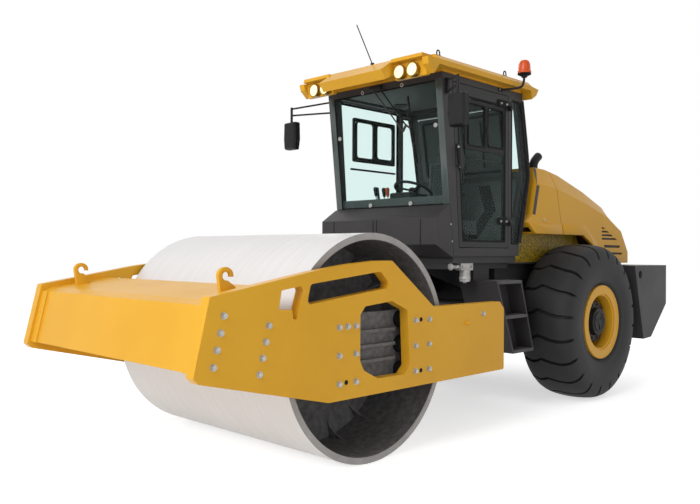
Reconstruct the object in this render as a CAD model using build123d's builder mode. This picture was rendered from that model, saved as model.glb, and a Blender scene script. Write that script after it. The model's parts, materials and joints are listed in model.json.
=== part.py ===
import os
from math import cos, degrees, radians, sin

from build123d import *

os.makedirs("parts", exist_ok=True)

# Millimetres. X runs forward to the drum, Y to the left, Z up from the ground.
# The origin lies on the ground under the articulation pin.
rear_beam_x1 = 800
drum_r = 850
drum_x = rear_beam_x1 + 100 + drum_r
drum_front = drum_x + drum_r
drum_width = 2170
drum_wall = 48
tyre_x = -1750
tyre_r = 825
tyre_width = 597
track_y = 910
cab_half = 735
drum_side_gap = 35
plate_t = 80
plate_in = drum_width / 2 + drum_side_gap
plate_out = plate_in + plate_t
fit = 0.05

# Front frame: outline of a side plate and its cut-outs, as (x, z).
plate_base = 535
plate_shelf = 1131
plate_outline = [
    (drum_front + 670, 1290),
    (drum_front - 146, 1427),
    (drum_x + 342, 1472),
    (drum_x + 68, 1494),
    (drum_x - 90, 1495),
    (drum_x - 586, plate_shelf),
    (238, plate_shelf),
    (174, 1068),
    (174, plate_base),
    (drum_x + 553, plate_base),
    (drum_front + 745.85, 786),
    (drum_front + 781.85, 822),
]
slot_outline = [(drum_x + 721, 1344), (drum_x + 756, 1207), (drum_x - 89, 1299), (drum_x + 35, 1417)]
window_outline = [
    (drum_x + 247, 1115),
    (drum_x + 195, 1172),
    (drum_x - 89, 1197),
    (drum_x - 270, 1120),
    (drum_x - 293, 700),
    (drum_x - 232, 642),
    (drum_x + 63, 644),
    (drum_x + 208, 717),
    (drum_x + 247, 786),
]
eye_outline = [
    (drum_front + 146, 1188),
    (drum_front + 122, 1310),
    (drum_front - 47, 1334),
    (drum_front - 65, 1304),
    (drum_front - 9, 1114),
    (drum_front + 25, 1124),
    (drum_front + 31, 1182),
]

# Front and rear cross beams of the front frame.
beam_front = [
    (drum_front + 739, 837),
    (drum_front + 648, 1235),
    (drum_front + 570, 1262),
    (drum_front + 100, 1333),
    (drum_front + 80, 1290),
    (drum_front + 140, 760),
    (drum_front + 420, 760),
]
flange_t = 87
flange_step = 15
rear_beam_x0 = 380
rear_beam_flat = 560
rear_beam_cut = 200
rear_beam_z0 = 575
rear_beam_z1 = 1105
hook_y = plate_in - 135
hook_t = 30
hook_outline = [
    (drum_front + 470, 1240),
    (drum_front + 470, 1295),
    (drum_front + 490, 1422),
    (drum_front + 410, 1460),
    (drum_front + 357, 1426),
    (drum_front + 369, 1401),
    (drum_front + 424, 1427),
    (drum_front + 412, 1382),
    (drum_front + 337, 1332),
    (drum_front + 337, 1240),
]

# Drum bearing and the rubber buffers that carry it.
head_recess = 610
head_t = 30
head_y = drum_width / 2 - head_recess - head_t
boss_r = 210
boss_len = 160
journal_r = 130
housing_r = 240
housing_gap = 15
gusset_count = 16
gusset_leg = 165
gusset_t = 20
buffer_len = 90
support_t = 40
support_y0 = plate_in - buffer_len - support_t
support_half_x = 600
support_half_z = 260
support_x0 = drum_x - support_half_x
support_x1 = drum_x + support_half_x
support_z0 = drum_r - support_half_z
support_z1 = drum_r + support_half_z
buffer_r = 65
buffer_x = (drum_x + 458, drum_x + 294, drum_x - 359, drum_x - 523)
buffer_z = (drum_r + 190, drum_r - 5, drum_r - 200)

# Articulation and oscillation joint.
hinge_z = 830
pin_r = 60
osc_r = 140
lug_t = 65
lug_gap = 330
hitch_gap = 15
arm_r = 300
arm_angle = 65
arm_t = 30
arm_drop = 8
eye_z = 30
cylinder_x = -620
cylinder_y = 330
cylinder_pin = 30
barrel_r = 55
rod_r = 28
barrel_end = 490
rod_start = 300

# Rear frame.
wall_x0 = -740
wall_x1 = -700
deck_z0 = 1400
deck_z1 = 1457
deck_half = cab_half - 95
wall_half = deck_half - 120
step_in = wall_half + 260
step_out = step_in + 170
rail_y1 = wall_half - 40
rail_y0 = rail_y1 - 60
rail_z0 = 640
rail_top = 1440
flange_half = rail_y1 + 110
axle_r = 140
axle_top = 985
notch_half = 300
spindle_r = 110
spindle_end = 940
hub_gap = 12

# Counterweight.
weight_half = 1200
weight_top = 1414
weight_outline = [(-2498, weight_top), (-3380, weight_top), (-3380, 948), (-2948, 577), (-2739, 567)]
lash_x = -2647
lash_z = 1312
lash_r = 45
tow_r = 25
tow_x = -3318
tow_z = 768
tow_t = 60

# Hood.
hood_half = 770
hood_flat = 700
hood_wall = 20
split_gap = 10
split_low = (-1640, 1750)
split_high = (-1450, 2480)
hood_top = [
    (-1137, 2455),
    (-1367, 2448),
    (-1646, 2405),
    (-2219, 2256),
    (-2696, 2099),
    (-3075, 1838),
    (-3263, 1573),
]
hood_drop = [183, 185, 180, 150, 110, 15, 0]
hood_foot = [
    (-3263, 1437),
    (-2530, 1437),
    (-2318, 1653),
    (-2088, 1757),
    (-1060, 1757),
    (-898, 1870),
    (-1012, 1954),
]
louvre_rows = (1716, 1758, 1800, 1842)
louvre_h = 22
louvre_tip = (-2543, 1888)
louvre_heel = (-2966, 1717)
louvre_front = -2566
slot_rows = [
    [(-2620, 1654), (-3064, 1650), (-3046, 1622), (-2634, 1622)],
    [(-2736, 1568), (-3122, 1562), (-3112, 1540), (-2764, 1542)],
]
hood_knuckle = 16
hood_hinge_x = hood_top[-1][0] - hood_knuckle - 6
hood_hinge_z = 1456
hood_pin_r = 8

# Cab.
cab_wall = 50
floor_z = 1524
sill_top = 1585
cab_top = 3180
cab_outline = [
    (282, floor_z),
    (468, cab_top),
    (-860, cab_top),
    (-870, 3110),
    (-1010, 2348),
    (-807, sill_top),
    (-807, floor_z),
]
glass_t = 10
screen_z0 = 1992
screen_z1 = 3120
screen_half = cab_half - 45
door_sill = 1600
door_top = 3120
door_rear = -620
pillar_low = 88
pillar_high = 140
pillar_rear = 42
door_gap = 7
door_rim = 50
door_head = 95
door_hinge_y = cab_half + 26
hinge_levels = (1865, 3014)
knuckle_len = 40
knuckle_r = 16
knuckle_pin = 8
pane_set = 8
quarter_z0 = 1640
quarter_z1 = 3090
quarter_edge = 25
side_z0 = 1800
rear_z0 = 2400
rear_z1 = 3070
rear_half = cab_half - 90
cowl_nose = 550
cowl_high = 1866
cowl_low = 1628
roof_half = cab_half + 90
roof_edge = 45
roof_z0 = cab_top + 22
roof_z1 = 3293
pod_half = cab_half + 25
visor_half = 400
visor_step = 5
lamp_r = 57
beacon_x = -656
beacon_y = roof_half + 62
beacon_z = 3318
beacon_r = 66
beacon_h = 182
pole_r = 12
antenna_x = 700
antenna_y = 100
mirror_x = 680
mirror_y = cab_half + 330
mirror_w = 180
mirror_z0 = 2622
mirror_z1 = 2905
arm_low = 3003
arm_high = 3112


def slab_y(points, y_low, y_high, mode=Mode.ADD, radius=0):
    with BuildSketch(Plane.XZ.offset(-y_high)) as face:
        with BuildLine():
            Polyline(*points, close=True)
        make_face()
        if radius:
            fillet(face.vertices(), radius)
    extrude(face.sketch, amount=y_high - y_low, mode=mode)


def slab_z(points, z_low, z_high, mode=Mode.ADD, radius=0):
    with BuildSketch(Plane.XY.offset(z_low)) as face:
        with BuildLine():
            Polyline(*points, close=True)
        make_face()
        if radius:
            fillet(face.vertices(), radius)
    extrude(face.sketch, amount=z_high - z_low, mode=mode)


def slab_x(points, x_low, x_high, mode=Mode.ADD, radius=0):
    with BuildSketch(Plane.YZ.offset(x_low)) as face:
        with BuildLine():
            Polyline(*points, close=True)
        make_face()
        if radius:
            fillet(face.vertices(), radius)
    extrude(face.sketch, amount=x_high - x_low, mode=mode)


def block(x0, x1, y0, y1, z0, z1, mode=Mode.ADD):
    slab_z([(x0, y0), (x1, y0), (x1, y1), (x0, y1)], z0, z1, mode)


def disc_y(x, z, radius, y_low, y_high, mode=Mode.ADD):
    with BuildSketch(Plane((x, y_high, z), x_dir=(1, 0, 0), z_dir=(0, -1, 0))) as face:
        Circle(radius)
    extrude(face.sketch, amount=y_high - y_low, mode=mode)


def disc_z(x, y, radius, z_low, z_high, mode=Mode.ADD):
    with BuildSketch(Plane((x, y, z_low))) as face:
        Circle(radius)
    extrude(face.sketch, amount=z_high - z_low, mode=mode)


def disc_x(y, z, radius, x_low, x_high, mode=Mode.ADD):
    with BuildSketch(Plane((x_low, y, z), x_dir=(0, 1, 0), z_dir=(1, 0, 0))) as face:
        Circle(radius)
    extrude(face.sketch, amount=x_high - x_low, mode=mode)


def bar(start, end, radius, mode=Mode.ADD):
    run = Vector(*end) - Vector(*start)
    with BuildSketch(Plane(start, z_dir=run)) as face:
        Circle(radius)
    extrude(face.sketch, amount=run.length, mode=mode)


def line_x(start, end, z):
    return start[0] + (end[0] - start[0]) * (z - start[1]) / (end[1] - start[1])


def band(side, near, far):
    return (near, far) if side > 0 else (-far, -near)


def weight_face(z):
    return line_x(weight_outline[0], weight_outline[4], z)


def cab_face(z):
    return line_x(cab_outline[0], cab_outline[1], z)


def cab_back(z):
    top, low = (3, 4) if z > cab_outline[4][1] else (4, 5)
    return line_x(cab_outline[top], cab_outline[low], z)


def door_front(z):
    low = (cab_face(door_sill) - pillar_low, door_sill)
    high = (cab_face(door_top) - pillar_high, door_top)
    return line_x(low, high, z)


def cut_plate(side):
    low, high = band(side, plate_in, plate_out)
    slab_y(plate_outline, low, high, radius=18)
    slab_y(slot_outline, low, high, Mode.SUBTRACT, 28)
    slab_y(window_outline, low, high, Mode.SUBTRACT, 24)
    slab_y(eye_outline, low, high, Mode.SUBTRACT, 8)


with BuildPart() as side_plate_left:
    cut_plate(1)

with BuildPart() as side_plate_right:
    cut_plate(-1)

with BuildPart() as front_beam:
    slab_y(beam_front, flange_t - plate_in, plate_in - flange_t)
    for side in (1, -1):
        low, high = band(side, plate_in - flange_t, plate_in)
        slab_y([(x + flange_step, z) for x, z in beam_front], low, high)

with BuildPart() as rear_beam:
    slab_z(
        [
            (rear_beam_x0, -rear_beam_flat),
            (rear_beam_x0, rear_beam_flat),
            (rear_beam_x0 + rear_beam_cut, plate_in),
            (rear_beam_x1, plate_in),
            (rear_beam_x1, -plate_in),
            (rear_beam_x0 + rear_beam_cut, -plate_in),
        ],
        rear_beam_z0,
        rear_beam_z1,
    )
    disc_x(0, hinge_z, osc_r + 90, rear_beam_x0 - 25, rear_beam_x0)
    disc_x(0, hinge_z, osc_r, rear_beam_x0 - 25, rear_beam_x0 + 220, Mode.SUBTRACT)

with BuildPart() as lifting_hooks:
    for side in (1, -1):
        slab_y(hook_outline, side * hook_y - hook_t / 2, side * hook_y + hook_t / 2)
    slab_y(beam_front, -plate_in, plate_in, Mode.SUBTRACT)

with BuildPart() as drum_supports:
    for side in (1, -1):
        low, high = band(side, support_y0, support_y0 + support_t)
        slab_y(
            [
                (support_x0, support_z0 + 80),
                (support_x0 + 80, support_z0),
                (support_x1 - 80, support_z0),
                (support_x1, support_z0 + 80),
                (support_x1, support_z1 - 80),
                (support_x1 - 80, support_z1),
                (support_x0 + 80, support_z1),
                (support_x0, support_z1 - 80),
            ],
            low,
            high,
        )
        low, high = band(side, head_y + 8, support_y0)
        disc_y(drum_x, drum_r, journal_r - fit, low, high)
        low, high = band(side, head_y + head_t + boss_len + housing_gap, support_y0)
        disc_y(drum_x, drum_r, housing_r, low, high)
        low, high = band(side, support_y0 + support_t, plate_in - buffer_len / 2)
        for rib_z in (drum_r - 110, drum_r, drum_r + 110):
            block(drum_x - 270, drum_x + 210, low, high, rib_z, rib_z + 24)

with BuildPart() as rubber_buffers:
    for side in (1, -1):
        low, high = band(side, support_y0 + support_t, plate_in)
        for x in buffer_x:
            for z in buffer_z:
                disc_y(x, z, buffer_r, low, high)

with BuildPart() as drum_shell:
    disc_y(drum_x, drum_r, drum_r, -drum_width / 2, drum_width / 2)
    disc_y(drum_x, drum_r, drum_r - drum_wall, -drum_width / 2, drum_width / 2, Mode.SUBTRACT)

with BuildPart() as drum_heads:
    bowl = drum_r - drum_wall
    for side in (1, -1):
        low, high = band(side, head_y, head_y + head_t)
        disc_y(drum_x, drum_r, bowl, low, high)
        low, high = band(side, head_y, head_y + head_t + boss_len)
        disc_y(drum_x, drum_r, boss_r, low, high)
        disc_y(drum_x, drum_r, journal_r, low, high, Mode.SUBTRACT)
        face_y = head_y + head_t
        edge = bowl - 2
        tip = (edge, side * (face_y + gusset_leg))
        root = (edge - gusset_leg, side * (face_y - 1))
        heel = (edge, side * (face_y - 1))
        middle = (edge - 0.33 * gusset_leg, side * (face_y + 0.33 * gusset_leg))
        for i in range(gusset_count):
            turn = radians(360 * (i + 0.5) / gusset_count)
            out = (cos(turn), 0, sin(turn))
            with BuildSketch(Plane((drum_x, 0, drum_r), x_dir=out, z_dir=(-sin(turn), 0, cos(turn)))):
                with BuildLine():
                    ThreePointArc(tip, middle, root)
                    Polyline(root, heel, tip)
                make_face()
            extrude(amount=gusset_t / 2, both=True)

arm_x = arm_r * cos(radians(arm_angle))
arm_y = arm_r * sin(radians(arm_angle))
arm_z0 = hinge_z + eye_z + arm_drop
hitch_half = lug_gap / 2 - hitch_gap

with BuildPart() as hitch_block:
    block(-130, 200, -140, 140, hinge_z - hitch_half, hinge_z + hitch_half)
    disc_x(0, hinge_z, osc_r + 25, 190, rear_beam_x0 - 40)
    disc_x(0, hinge_z, osc_r - fit, 190, rear_beam_x0 + 200)
    disc_z(0, 0, pin_r - fit, hinge_z - lug_gap / 2 - lug_t - 6, hinge_z + lug_gap / 2 + lug_t + 6)
    disc_z(0, 0, pin_r + 25, hinge_z + lug_gap / 2 + lug_t + 6, hinge_z + lug_gap / 2 + lug_t + 22)
    for side in (1, -1):
        arm = [(-60, 0), (60, 0), (arm_x + 58, side * arm_y), (arm_x - 58, side * arm_y)]
        slab_z(arm, arm_z0, arm_z0 + arm_t)
        disc_z(arm_x, side * arm_y, 58, arm_z0, arm_z0 + arm_t)
        disc_z(arm_x, side * arm_y, 34, arm_z0 + arm_t, arm_z0 + arm_t + 16)


def cylinder_plane(side):
    run = Vector(arm_x - cylinder_x, side * (arm_y - cylinder_y), 0)
    return Plane((cylinder_x, side * cylinder_y, hinge_z), x_dir=(0, 0, 1), z_dir=run), run


def cylinder_barrel(side):
    plane, run = cylinder_plane(side)
    with BuildSketch(plane.offset(62)) as face:
        Circle(barrel_r)
    extrude(face.sketch, amount=barrel_end - 62)
    with BuildSketch(plane.offset(30)) as face:
        Circle(40)
    extrude(face.sketch, amount=40)
    with BuildSketch(plane.offset(85)) as face:
        Circle(rod_r + fit)
    extrude(face.sketch, amount=barrel_end - 80, mode=Mode.SUBTRACT)
    disc_z(cylinder_x, side * cylinder_y, 55, hinge_z - 40, hinge_z + 40)
    disc_z(cylinder_x, side * cylinder_y, cylinder_pin + fit, hinge_z - 40, hinge_z + 40, Mode.SUBTRACT)


def cylinder_rod(side):
    plane, run = cylinder_plane(side)
    with BuildSketch(plane.offset(rod_start)) as face:
        Circle(rod_r)
    extrude(face.sketch, amount=run.length - rod_start)
    disc_z(arm_x, side * arm_y, 48, hinge_z - eye_z, hinge_z + eye_z)


with BuildPart() as steering_barrel_left:
    cylinder_barrel(1)

with BuildPart() as steering_barrel_right:
    cylinder_barrel(-1)

with BuildPart() as steering_rod_left:
    cylinder_rod(1)

with BuildPart() as steering_rod_right:
    cylinder_rod(-1)

with BuildPart() as rear_chassis:
    half_gap = lug_gap / 2
    for low in (hinge_z - half_gap - lug_t, hinge_z + half_gap):
        slab_z(
            [
                (wall_x1, -wall_half),
                (wall_x1 + 100, -wall_half),
                (-300, -300),
                (0, -pin_r - 120),
                (0, pin_r + 120),
                (-300, 300),
                (wall_x1 + 100, wall_half),
                (wall_x1, wall_half),
            ],
            low,
            low + lug_t,
        )
        disc_z(0, 0, pin_r + 120, low, low + lug_t)
        disc_z(0, 0, pin_r, low, low + lug_t, Mode.SUBTRACT)
    for side in (1, -1):
        disc_z(cylinder_x, side * cylinder_y, cylinder_pin, hinge_z - half_gap, hinge_z + half_gap)
    block(wall_x1, -215, -25, 25, hinge_z - half_gap, hinge_z + half_gap)
    block(wall_x0, wall_x1, -wall_half, wall_half, 560, deck_z0)
    block(wall_x0, 250, -deck_half, deck_half, deck_z0, deck_z1)
    for side in (1, -1):
        low, high = band(side, 200, 230)
        slab_y([(wall_x1, deck_z0), (wall_x1, 1120), (150, deck_z0)], low, high)
        low, high = band(side, rail_y0, rail_y1)
        slab_y(
            [
                (wall_x0, rail_top),
                (wall_x0, rail_z0),
                (tyre_x + notch_half, rail_z0),
                (tyre_x + notch_half, axle_top),
                (tyre_x - notch_half, axle_top),
                (tyre_x - notch_half, rail_z0),
                (weight_face(rail_z0), rail_z0),
                (weight_face(rail_top), rail_top),
            ],
            low,
            high,
        )
        low, high = band(side, rail_y0, flange_half)
        block(-2480, wall_x0, low, high, rail_top, deck_z1)
    block(-1300, -1200, -rail_y0, rail_y0, 700, 900)

with BuildPart() as rear_axle:
    disc_y(tyre_x, tyre_r, axle_r, -track_y + 260, track_y - 260)
    disc_y(tyre_x, tyre_r, axle_r + 95, -150, 150)
    disc_y(tyre_x, tyre_r, spindle_r, -spindle_end, spindle_end)
    for side in (1, -1):
        low, high = band(side, rail_y0 - 20, rail_y1 + 20)
        block(tyre_x - 150, tyre_x + 150, low, high, tyre_r + 60, axle_top)


def wheel_plane(side):
    return Plane((tyre_x, side * track_y, tyre_r), x_dir=(0, side, 0), z_dir=(side, 0, 0))


def wheel_axis(side):
    return Axis((tyre_x, side * track_y, tyre_r), (0, 1, 0))


bead_r = 330
rim_half = 262
rim_flange = 390
rim_lip = 22
hub_r = 160
half = tyre_width / 2
tyre_profile = [
    (rim_half - rim_lip, bead_r),
    (rim_half - rim_lip, rim_flange + 10),
    (half, 590),
    (half - 14, tyre_r - 113),
    (half - 70, tyre_r),
]
groove_count = 18
groove_w = 26
groove_depth = 38
slot_w = 36
chevron = 26
groove_line = [(62 - half, -chevron), (-60, chevron), (half - 62, -chevron)]
slot_profile = [
    (half - 76, tyre_r - groove_depth - 1),
    (half - 76, tyre_r + 15),
    (half + 25, tyre_r + 15),
    (half + 25, tyre_r - 125),
    (half - 13, tyre_r - 121),
]


def tyre_solid(side):
    with BuildSketch(wheel_plane(side)) as face:
        with BuildLine():
            Polyline(*tyre_profile, *[(-u, v) for u, v in reversed(tyre_profile)], close=True)
        make_face()
    revolve(face.sketch, axis=wheel_axis(side))
    centre = Vector(tyre_x, side * track_y, tyre_r)
    turns = [radians(360 * i / groove_count) for i in range(groove_count)]
    tops = []
    for turn in turns:
        out = Vector(cos(turn), 0, sin(turn))
        tops.append(Plane(centre + out * (tyre_r + 20), x_dir=(0, side, 0), z_dir=out))
    with BuildSketch(*tops) as grooves:
        with BuildLine():
            low = [(u, side * v - groove_w / 2) for u, v in groove_line]
            high = [(u, side * v + groove_w / 2) for u, v in reversed(groove_line)]
            Polyline(*low, *high, close=True)
        make_face()
    extrude(grooves.sketch, amount=-groove_depth - 20, mode=Mode.SUBTRACT)
    spokes = []
    for turn in turns:
        turn += (slot_w / 2 - chevron) / tyre_r
        spokes.append(Plane(centre, x_dir=(0, side, 0), z_dir=(side * sin(turn), 0, -side * cos(turn))))
    for end in (1, -1):
        with BuildSketch(*spokes) as slots:
            with BuildLine():
                Polyline(*[(end * u, v) for u, v in slot_profile], close=True)
            make_face()
        arc = degrees(slot_w / tyre_r)
        revolve(slots.sketch, axis=wheel_axis(side), revolution_arc=arc, mode=Mode.SUBTRACT)


def rim_solid(side):
    with BuildSketch(wheel_plane(side)) as face:
        with BuildLine():
            Polyline(
                (rim_half, bead_r - 30),
                (rim_half, rim_flange),
                (rim_half - rim_lip, rim_flange),
                (rim_half - rim_lip, bead_r),
                (rim_lip - rim_half, bead_r),
                (rim_lip - rim_half, rim_flange),
                (-rim_half, rim_flange),
                (-rim_half, bead_r - 30),
                (10, bead_r - 30),
                (10, hub_r),
                (45, hub_r),
                (45, bead_r - 30),
                close=True,
            )
        make_face()
    revolve(face.sketch, axis=wheel_axis(side))


def hub_solid(side):
    inner = track_y - 260 + hub_gap - track_y
    with BuildSketch(wheel_plane(side)) as face:
        with BuildLine():
            Polyline(
                (inner, spindle_r + fit),
                (inner, hub_r),
                (45, hub_r),
                (45, 225),
                (165, 225),
                (180, 210),
                (180, 150),
                (230, 140),
                (230, 0),
                (spindle_end - track_y + 20, 0),
                (spindle_end - track_y + 20, spindle_r + fit),
                close=True,
            )
        make_face()
    revolve(face.sketch, axis=wheel_axis(side))


with BuildPart() as tyre_left:
    tyre_solid(1)

with BuildPart() as tyre_right:
    tyre_solid(-1)

with BuildPart() as rim_left:
    rim_solid(1)

with BuildPart() as rim_right:
    rim_solid(-1)

with BuildPart() as hub_left:
    hub_solid(1)

with BuildPart() as hub_right:
    hub_solid(-1)

with BuildPart() as engine_block:
    block(-2400, -1400, 40 - rail_y0, rail_y0 - 40, 1090, 1850)
    for x in (-2300, -1600):
        block(x, x + 120, -rail_y0, rail_y0, 1090, 1140)

with BuildPart() as counterweight:
    slab_y(weight_outline, -weight_half, weight_half)
    for side in (1, -1):
        low, high = band(side, weight_half - 140, weight_half)
        disc_y(lash_x, lash_z, lash_r, low, high, Mode.SUBTRACT)
        low, high = band(side, 500, 540)
        block(hood_hinge_x - hood_knuckle, hood_hinge_x + hood_knuckle, low, high, weight_top - 5, hood_hinge_z)
        disc_y(hood_hinge_x, hood_hinge_z, hood_knuckle, low, high)
        disc_y(hood_hinge_x, hood_hinge_z, hood_pin_r + fit, low, high, Mode.SUBTRACT)

with BuildPart() as tow_lug:
    slab_y(
        [
            (tow_x - 47, tow_z - 47),
            (tow_x - 47, tow_z + 47),
            (tow_x + 300, tow_z + 150),
            (tow_x + 300, tow_z - 140),
        ],
        -tow_t / 2,
        tow_t / 2,
        radius=20,
    )
    disc_y(tow_x, tow_z, tow_r, -tow_t / 2, tow_t / 2, Mode.SUBTRACT)
    slab_y(weight_outline, -weight_half, weight_half, Mode.SUBTRACT)

with BuildPart() as bay_panels:
    back_gap = 10
    for side in (1, -1):
        low, high = band(side, flange_half - 20, flange_half)
        slab_y(
            [
                (-2470, deck_z1),
                (cab_outline[-1][0] - back_gap, deck_z1),
                (cab_outline[-1][0] - back_gap, sill_top),
                (cab_back(1745) - back_gap, 1745),
                (hood_foot[4][0] - 15, 1745),
                (hood_foot[4][0] - 15, 1830),
                (-2230, 1830),
            ],
            low,
            high,
        )


def hood_outline(inset, lower):
    top = [(x, z - inset - lower * d) for (x, z), d in zip(hood_top, hood_drop)]
    top[0] = (top[0][0] - inset + 43 * lower, top[0][1])
    top[-2] = (top[-2][0] + inset * 0.7, top[-2][1])
    top[-1] = (top[-1][0] + inset, top[-1][1] + inset * 0.7)
    open_foot = 6 * inset
    foot = [(x, z - open_foot) for x, z in hood_foot]
    foot[0] = (foot[0][0] + inset, foot[0][1])
    foot[-2] = (foot[-2][0] - 2 * inset, foot[-2][1])
    foot[-1] = (foot[-1][0] - inset, hood_foot[-1][1])
    return top + foot


def hood_solid(inset):
    kind = Mode.SUBTRACT if inset else Mode.ADD
    flat = hood_flat - inset / 2
    slab_y(hood_outline(inset, 0), -flat, flat, kind)
    for side in (1, -1):
        with BuildSketch(Plane.XZ.offset(-side * flat)) as near:
            with BuildLine():
                Polyline(*hood_outline(inset, 0), close=True)
            make_face()
        with BuildSketch(Plane.XZ.offset(-side * (hood_half - inset))) as far:
            with BuildLine():
                Polyline(*hood_outline(inset, 1), close=True)
            make_face()
        loft([near.sketch, far.sketch], ruled=True, mode=kind)


def split_x(z):
    return line_x(split_low, split_high, z)


with BuildPart() as hood_cowl:
    hood_solid(0)
    hood_solid(hood_wall)
    back = split_gap / 2
    slab_y(
        [(split_x(1200) + back, 1200), (split_x(2700) + back, 2700), (-4000, 2700), (-4000, 1200)],
        -hood_half,
        hood_half,
        Mode.SUBTRACT,
    )
    for side in (1, -1):
        low, high = band(side, flange_half, hood_half - hood_wall)
        block(split_x(1757) + 20, hood_foot[4][0], low, high, hood_foot[4][1], hood_foot[4][1] + 18)

with BuildPart() as hood:
    hood_solid(0)
    hood_solid(hood_wall)
    back = split_gap / 2
    slab_y(
        [(split_x(1200) - back, 1200), (split_x(2700) - back, 2700), (0, 2700), (0, 1200)],
        -hood_half,
        hood_half,
        Mode.SUBTRACT,
    )
    for side in (1, -1):
        low, high = band(side, hood_half - 2 * hood_wall, hood_half + 5)
        for z in louvre_rows:
            top = z + louvre_h
            row = [
                (louvre_front, z),
                (louvre_front, top),
                (line_x(louvre_tip, louvre_heel, top), top),
                (line_x(louvre_tip, louvre_heel, z), z),
            ]
            slab_y(row, low, high, Mode.SUBTRACT)
        for row in slot_rows:
            slab_y(row, low, high, Mode.SUBTRACT)
        low, high = band(side, 460, 494)
        block(
            hood_hinge_x,
            hood_top[-1][0] + 5,
            low,
            high,
            hood_hinge_z - hood_knuckle,
            hood_hinge_z + hood_knuckle,
        )
        disc_y(hood_hinge_x, hood_hinge_z, hood_knuckle, low, high)
        low, high = band(side, 460, 545)
        disc_y(hood_hinge_x, hood_hinge_z, hood_pin_r, low, high)

with BuildPart() as exhaust_stub:
    foot = (-1310, 600, 2400)
    with BuildLine() as run:
        Spline(foot, (-1320, 600, 2520), (-1412, 600, 2604), tangents=[(0, 0, 1), (-0.85, 0, 0.53)])
    with BuildSketch(Plane(foot)) as ring:
        Circle(46)
    sweep(ring.sketch, path=run.line)
    slab_y(hood_outline(0, 0), 400, hood_flat, Mode.SUBTRACT)

with BuildPart() as left_steps:
    slab_y([(-90, 1290), (-520, 1290), (-750, 590), (-370, 600)], wall_half, step_in)
    block(-420, -160, wall_half, deck_half, 1290, deck_z0)
    for low in (1262, 930, 592):
        front = line_x((-90, 1290), (-370, 600), low)
        rear = line_x((-520, 1290), (-750, 590), low)
        block(rear, front, step_in, step_out, low, low + 28)
    slab_y([(-90, 1290), (-112, 1290), (-392, 592), (-370, 592)], step_in, step_out)
    slab_y([(-520, 1290), (-498, 1290), (-728, 592), (-750, 592)], step_in, step_out)

with BuildPart() as right_tank:
    slab_y([(-90, 1290), (-620, 1290), (-750, 590), (-370, 600)], -step_out, -wall_half)
    block(-420, -160, -deck_half, -wall_half, 1290, deck_z0)
    disc_z(-300, -step_in - 20, 55, 1290, 1330)

with BuildPart() as cab_floor:
    edge = cab_wall / 2
    block(
        cab_outline[-1][0] + edge,
        cab_outline[0][0] - edge,
        edge - cab_half,
        cab_half - edge,
        deck_z1,
        floor_z,
    )

with BuildPart() as front_cowl:
    slab_y(
        [
            cab_outline[0],
            (cab_face(screen_z0), screen_z0),
            (cab_face(screen_z0) + 28, screen_z0 - 5),
            (cowl_nose, cowl_high),
            (cowl_nose, cowl_low),
            (cab_outline[0][0] + 18, floor_z - 11),
            (cab_outline[0][0], floor_z - 11),
        ],
        -cab_half,
        cab_half,
    )

window_depth = cab_wall + 2
quarter_shape = [
    (door_rear - pillar_rear, quarter_z0),
    (door_rear - pillar_rear, quarter_z1),
    (cab_back(quarter_z1) + quarter_edge, quarter_z1),
    (cab_outline[4][0] + quarter_edge, cab_outline[4][1]),
    (cab_back(quarter_z0) + quarter_edge, quarter_z0),
]
side_shape = [
    (door_rear, side_z0),
    (door_front(side_z0), side_z0),
    (door_front(door_top), door_top),
    (door_rear, door_top),
]
doorway_shape = [
    (door_rear, door_sill),
    (door_front(door_sill), door_sill),
    (door_front(door_top), door_top),
    (door_rear, door_top),
]

with BuildPart() as cab_frame:
    slab_y(cab_outline, -cab_half, cab_half)
    head_z = cab_top - cab_wall
    slab_y(
        [
            (cab_face(floor_z) - cab_wall, floor_z),
            (cab_face(head_z) - cab_wall, head_z),
            (cab_back(head_z) + cab_wall, head_z),
            (cab_outline[3][0] + cab_wall, cab_outline[3][1]),
            (cab_outline[4][0] + cab_wall, cab_outline[4][1]),
            (cab_outline[5][0] + cab_wall, sill_top),
            (cab_outline[5][0] + cab_wall, floor_z),
        ],
        cab_wall - cab_half,
        cab_half - cab_wall,
        Mode.SUBTRACT,
    )
    rim = 2 * cab_wall
    block(
        cab_outline[2][0] + rim,
        cab_outline[1][0] - rim,
        rim - cab_half,
        cab_half - rim,
        head_z - 5,
        cab_top,
        Mode.SUBTRACT,
    )
    block(0, cab_outline[1][0] + 50, -screen_half, screen_half, screen_z0, screen_z1, Mode.SUBTRACT)
    block(cab_outline[4][0] - 50, -700, -rear_half, rear_half, rear_z0, rear_z1, Mode.SUBTRACT)
    slab_y(doorway_shape, cab_half - window_depth, cab_half, Mode.SUBTRACT)
    slab_y(side_shape, -cab_half, window_depth - cab_half, Mode.SUBTRACT)
    slab_y(quarter_shape, cab_half - window_depth, cab_half, Mode.SUBTRACT)
    slab_y(quarter_shape, -cab_half, window_depth - cab_half, Mode.SUBTRACT)

with BuildPart() as cab_glass:
    slab_y(
        [
            (cab_face(screen_z0) - pane_set, screen_z0),
            (cab_face(screen_z1) - pane_set, screen_z1),
            (cab_face(screen_z1) - pane_set - glass_t, screen_z1),
            (cab_face(screen_z0) - pane_set - glass_t, screen_z0),
        ],
        -screen_half,
        screen_half,
    )
    outer = cab_half - pane_set
    slab_y(quarter_shape, outer - glass_t, outer)
    slab_y(quarter_shape, -outer, glass_t - outer)
    slab_y(side_shape, -outer, glass_t - outer)
    slab_y(
        [
            (cab_back(rear_z0) + pane_set, rear_z0),
            (cab_back(rear_z1) + pane_set, rear_z1),
            (cab_back(rear_z1) + pane_set + glass_t, rear_z1),
            (cab_back(rear_z0) + pane_set + glass_t, rear_z0),
        ],
        -rear_half,
        rear_half,
    )

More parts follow.
